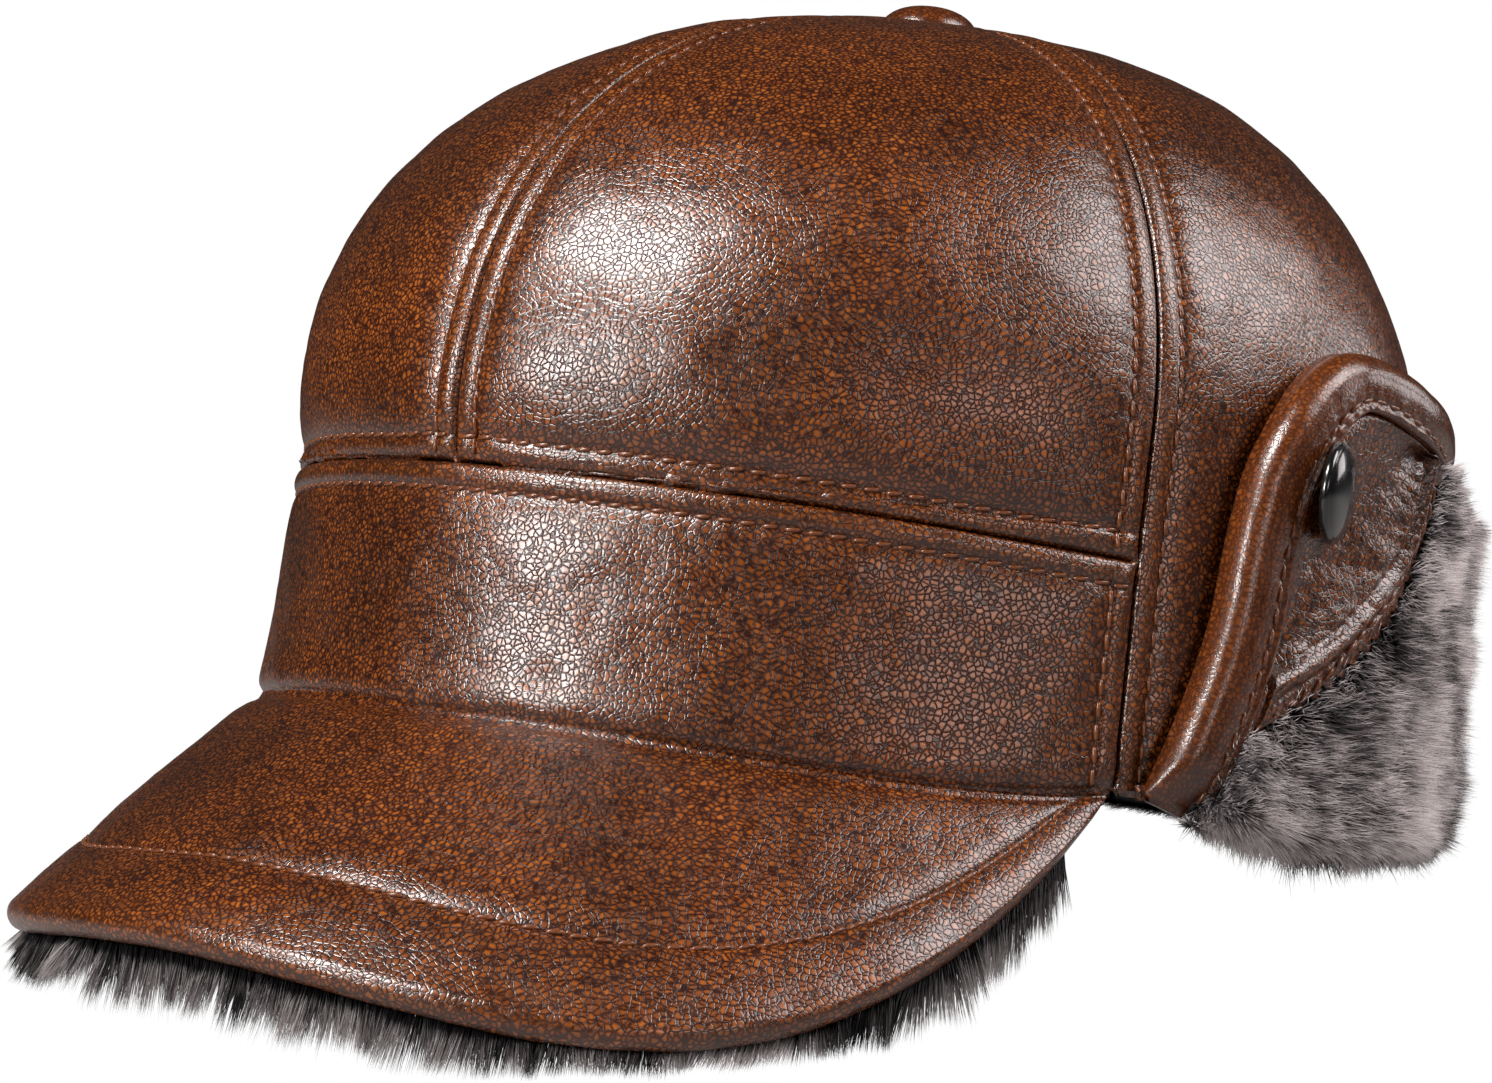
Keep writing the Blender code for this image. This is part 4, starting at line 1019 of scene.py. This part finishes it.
def panel_fur(panel, seed):
    rng = np.random.default_rng(seed)
    left = EAR_FUR_START * HALF_WIDTH if panel.is_ear else panel.left
    upper = panel.moved_in(np.linspace(0.0, 1.0, 200), np.full(200, EDGE_WIDTH + 0.4))
    upper = upper[np.argsort(upper[:, 0])]

    def profile(x, s):
        return pile_profile(fur_low(x), s, np.interp(x, *upper.T), panel.is_ear)

    def thinned(out, x, least):
        """The pile is thin at the joints with other panels."""
        sides = np.minimum(99.0 if panel.is_ear else x - left, panel.right - x)
        return np.minimum(out, PILE_OUT + np.clip(sides * 1.3 + 0.3, least, 10.0))

    def waves(x, z, size, wave_seed):
        return field(np.stack([x, z, 0.0 * x], -1), size, wave_seed)

    # The ground: a low pad, black like the roots, partly the fur's dark underfur and partly painted shade
    # deep in the pile
    x, s = grid(np.linspace(left + 0.4, panel.right - 0.4, 50), np.linspace(0.0, 0.97, 46))
    root_out, root_z, _, _ = profile(x, s)
    out = thinned(root_out - 0.3, x, 0.3)
    if panel.is_ear:
        cover = to_polyline(np.stack([x, root_z], -1), FACING_LINE)
        out = np.where(cover > -3.0, np.minimum(out, 5.4), out)
    outer = wall_point(x / HALF_WIDTH, root_z, out + 0.35 * waves(x, root_z, 4.0, 5))
    inner = wall_point(x / HALF_WIDTH, np.maximum(root_z, FOLD_HEIGHT + 0.8), 3.8)
    ground = closed_grid(inner, on_table(outer, 0.5))
    # The strands, short beside the facing, the roll and the ear's front corner
    x, s = rng.uniform(left, panel.right, STRANDS), rng.random(STRANDS)
    root_out, root_z, tip_out, tip_z = profile(x, s)
    if panel.is_ear:
        flat = np.stack([x, root_z], -1)
        cover, inside = to_polyline(flat, FACING_LINE), -to_polyline(flat, EAR_LINE)
        keep = (cover < -0.2) | (root_z < 8.0)
        keep &= (inside > EDGE_WIDTH - 1.0) | (root_z < -2.0)
        places = (x, root_out, root_z, tip_out, tip_z, cover, inside)
        x, root_out, root_z, tip_out, tip_z, cover, inside = (v[keep] for v in places)
        tip_out = mix(np.minimum(tip_out, 9.6), tip_out, smooth(-cover / 9.0))
        tip_out = mix(np.minimum(tip_out, 10.4), tip_out, smooth((inside - EDGE_WIDTH) / 8.0))
        tip_out = mix(7.5, tip_out, smooth((x - left) / 9.0))
    wild = rng.random(len(x))
    tip_out = tip_out + 0.9 * waves(x, root_z, 9.0, 77) - 2.2 * wild**2
    lean = rng.normal(size=len(x)) * 1.1 + 0.3
    roots = on_table(wall_point(x / HALF_WIDTH, root_z, thinned(root_out, x, 0.4)), 0.8)
    tip_z = tip_z - 0.3 + rng.normal(size=len(x)) * 0.9
    tips = wall_point((x + lean) / HALF_WIDTH, tip_z, tip_out)
    pile(panel.body, panel.body + "_fur", ground, roots, tips, panel.side, seed)


def fold_strip(panel):
    """The leather from the crown's rim down to the fold."""
    gap = PANEL_GAP / 2.0 / HALF_WIDTH
    theta, t = grid(np.linspace(panel.start, panel.end, 60), np.linspace(0.0, 1.0, 14))
    theta = np.clip(theta, panel.start + gap, panel.end - gap)
    z = mix(FOLD_TOP, np.maximum(FOLD_HEIGHT, fur_low(theta * HALF_WIDTH) + 1.2), t)
    p = wall_point(theta, z, mix(0.9, 2.9, smooth(t)))
    piece = skin(panel.body + "_fold_leather", p, FOLD_LEATHER, LEATHER, smooth(t), panel.side)
    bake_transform(piece)


def flap():
    for side, word in SIDES:
        panels = [Panel(*span, side, word) for span in PANELS]
        for index, panel in enumerate(panels):
            panel_leather(panel)
            panel_edge(panel)
            panel_fur(panel, 100 + index)
            fold_strip(panel)
        facing(panels[0])
        snap_cap(panels[0])


# ---- inside


def lining():
    """Padded plush gores, pulled in along their seams."""
    for index, part in enumerate(PARTS):
        seam_a, seam_b = SEAMS[index], SEAMS[index + 1]
        theta, up = grid(np.linspace(seam_a + 0.003, seam_b - 0.003, 42), np.linspace(0.0, 1.0, 70))
        low = np.maximum(rim_height(theta), -12.0) + 1.0
        base = crown_point(theta, dome_heights(theta, low, LINING_HOLE, up))
        n = grid_normals(base)
        across = np.linspace(0.0, 1.0, 42)[:, None]
        crown = np.sin(math.pi * across) ** 0.35 * np.sin(math.pi * up) ** 0.25
        thick = mix(LINING_THIN, LINING_THICK, crown) + 0.25 * field(base, 9.0, 13)
        outer = base - n * LINING_DEPTH
        inner = outer - n * thick[..., None]
        for side, word in SIDES:
            node = f"lining_{part}_{word}"
            points, faces = closed_grid(mirrored(inner, side), mirrored(outer, side))
            piece = new_object(node + "_quilt", points, [faces], PLUSH)
            finish_piece(piece, "crown", "lining_plush", node)


def sweatband():
    theta = np.linspace(0.0, 2.0 * math.pi, 240, endpoint=False)
    theta, z = grid(theta, np.linspace(SWEATBAND_LOW, SWEATBAND_HIGH, 30))
    worn = bump(z - SWEATBAND_LOW, 2.0)
    wave = 0.25 * layered(np.stack([60.0 * np.cos(theta), 60.0 * np.sin(theta), z], -1), 14.0, 6)
    p = wall_point(theta, z, wave + 0.6 * worn - SWEATBAND_DEPTH)
    piece = skin("sweatband_skin", p, SWEATBAND_THICK, SMOOTH_LEATHER, worn, closed=True)
    finish_piece(piece, "crown", "sweatband_leather", "sweatband")
    ring = np.concatenate([p[:, 3], p[:1, 3]])
    sewing.row("crown", ring - unit(ring) * 1.15, -unit(ring))


# ---- put together

crown_pieces()
front_band()
button()
visor()
visor_fur()
flap()
lining()
sweatband()
sewing.make(THREAD)

FINISHES = {"visor_board": BOARD, "top_button_shell": METAL}
FINISHES.update({f"snap_stud_{word}": METAL for _, word in SIDES})
FINISHES.update({f"ear_{word}_snap_socket": METAL for _, word in SIDES})
for node, finish in FINISHES.items():
    slots = frame["nodes"][node].material_slots
    for slot in slots:
        slot.material = finish
    if not slots:
        frame["nodes"][node].data.materials.append(finish)


# ---- camera, light and floor


def aimed(name, data, azimuth, elevation, distance, target=(0.0, 0.0, 0.07), roll=0.0):
    """A camera or light: degrees round from the front to the left, degrees up, metres from its target."""
    a, e = math.radians(azimuth), math.radians(elevation)
    back = Vector((math.sin(a) * math.cos(e), -math.cos(a) * math.cos(e), math.sin(e)))
    made = in_scene(name, data)
    made.location = Vector(target) + back * distance
    made.rotation_mode = "QUATERNION"
    made.rotation_quaternion = Quaternion(back, math.radians(roll)) @ (-back).to_track_quat("-Z", "Y")
    return made


def camera():
    data = bpy.data.cameras.new("camera")
    data.lens = 84.41
    data.sensor_width = 36.0
    data.clip_start, data.clip_end = 0.01, 20.0
    target = (-0.0041, 0.00694, 0.06055)
    bpy.context.scene.camera = aimed("camera", data, 39.02, 5.94, 0.59719, target, 0.26)


def softbox(name, azimuth, elevation, distance, size, power, colour):
    data = bpy.data.lights.new(name, "AREA")
    data.shape = "RECTANGLE"
    data.size, data.size_y = size
    data.energy = power
    data.color = colour
    aimed(name, data, azimuth, elevation, distance)


def by_ray(tree, others, camera_sees):
    """One shader for what the camera sees and another for all other rays."""
    path = add(tree, "ShaderNodeLightPath").outputs["Is Camera Ray"]
    return add(tree, "ShaderNodeMixShader", path, others, camera_sees).outputs[0]


def world():
    made = bpy.data.worlds.new("studio")
    bpy.context.scene.world = made
    made.use_nodes = True
    tree = made.node_tree
    faint = fill(tree, tree.nodes["Background"], Color=(1.0, 1.0, 1.0), Strength=0.03)
    seen = add(tree, "ShaderNodeBackground", Color=(1.0, 1.0, 1.0), Strength=1.0)
    fill(tree, tree.nodes["World Output"], Surface=by_ray(tree, faint.outputs[0], seen.outputs[0]))


def floor():
    """A pale floor, well below the turned-down flaps, that the camera sees as plain white."""
    made, tree, shader = new_material("pale_floor")
    fill(tree, shader, Base_Color=(0.3, 0.3, 0.3), Roughness=0.8)
    glow = add(tree, "ShaderNodeEmission", Strength=1.0)
    above = by_ray(tree, shader.outputs[0], glow.outputs[0])
    backfacing = add(tree, "ShaderNodeNewGeometry").outputs["Backfacing"]
    clear = add(tree, "ShaderNodeBsdfTransparent")
    sided = add(tree, "ShaderNodeMixShader", backfacing, above, clear.outputs[0])
    fill(tree, tree.nodes["Material Output"], Surface=sided.outputs[0])
    mesh = bpy.data.meshes.new("floor")
    reach, height = 6.0, -0.085
    corners = [(x * reach, y * reach, height) for x, y in ((-1, -1), (1, -1), (1, 1), (-1, 1))]
    mesh.from_pydata(corners, [], [(0, 1, 2, 3)])
    mesh.materials.append(made)
    in_scene("floor", mesh)


camera()
world()
floor()
softbox("key", -17.0, 54.0, 1.2, (0.34, 0.34), 17.0, (1.0, 0.96, 0.94))
softbox("low key", -9.0, 19.0, 1.2, (0.28, 0.28), 9.0, (1.0, 0.96, 0.94))
softbox("right", 122.0, 42.0, 1.2, (0.6, 0.6), 10.0, (1.0, 0.93, 0.92))
softbox("ear", 143.0, 12.0, 1.2, (0.5, 0.4), 2.6, (1.0, 0.93, 0.92))
softbox("front", 66.0, 14.0, 1.4, (0.5, 0.3), 2.0, (1.0, 0.9, 0.86))
bpy.context.scene.view_settings.view_transform = "Standard"
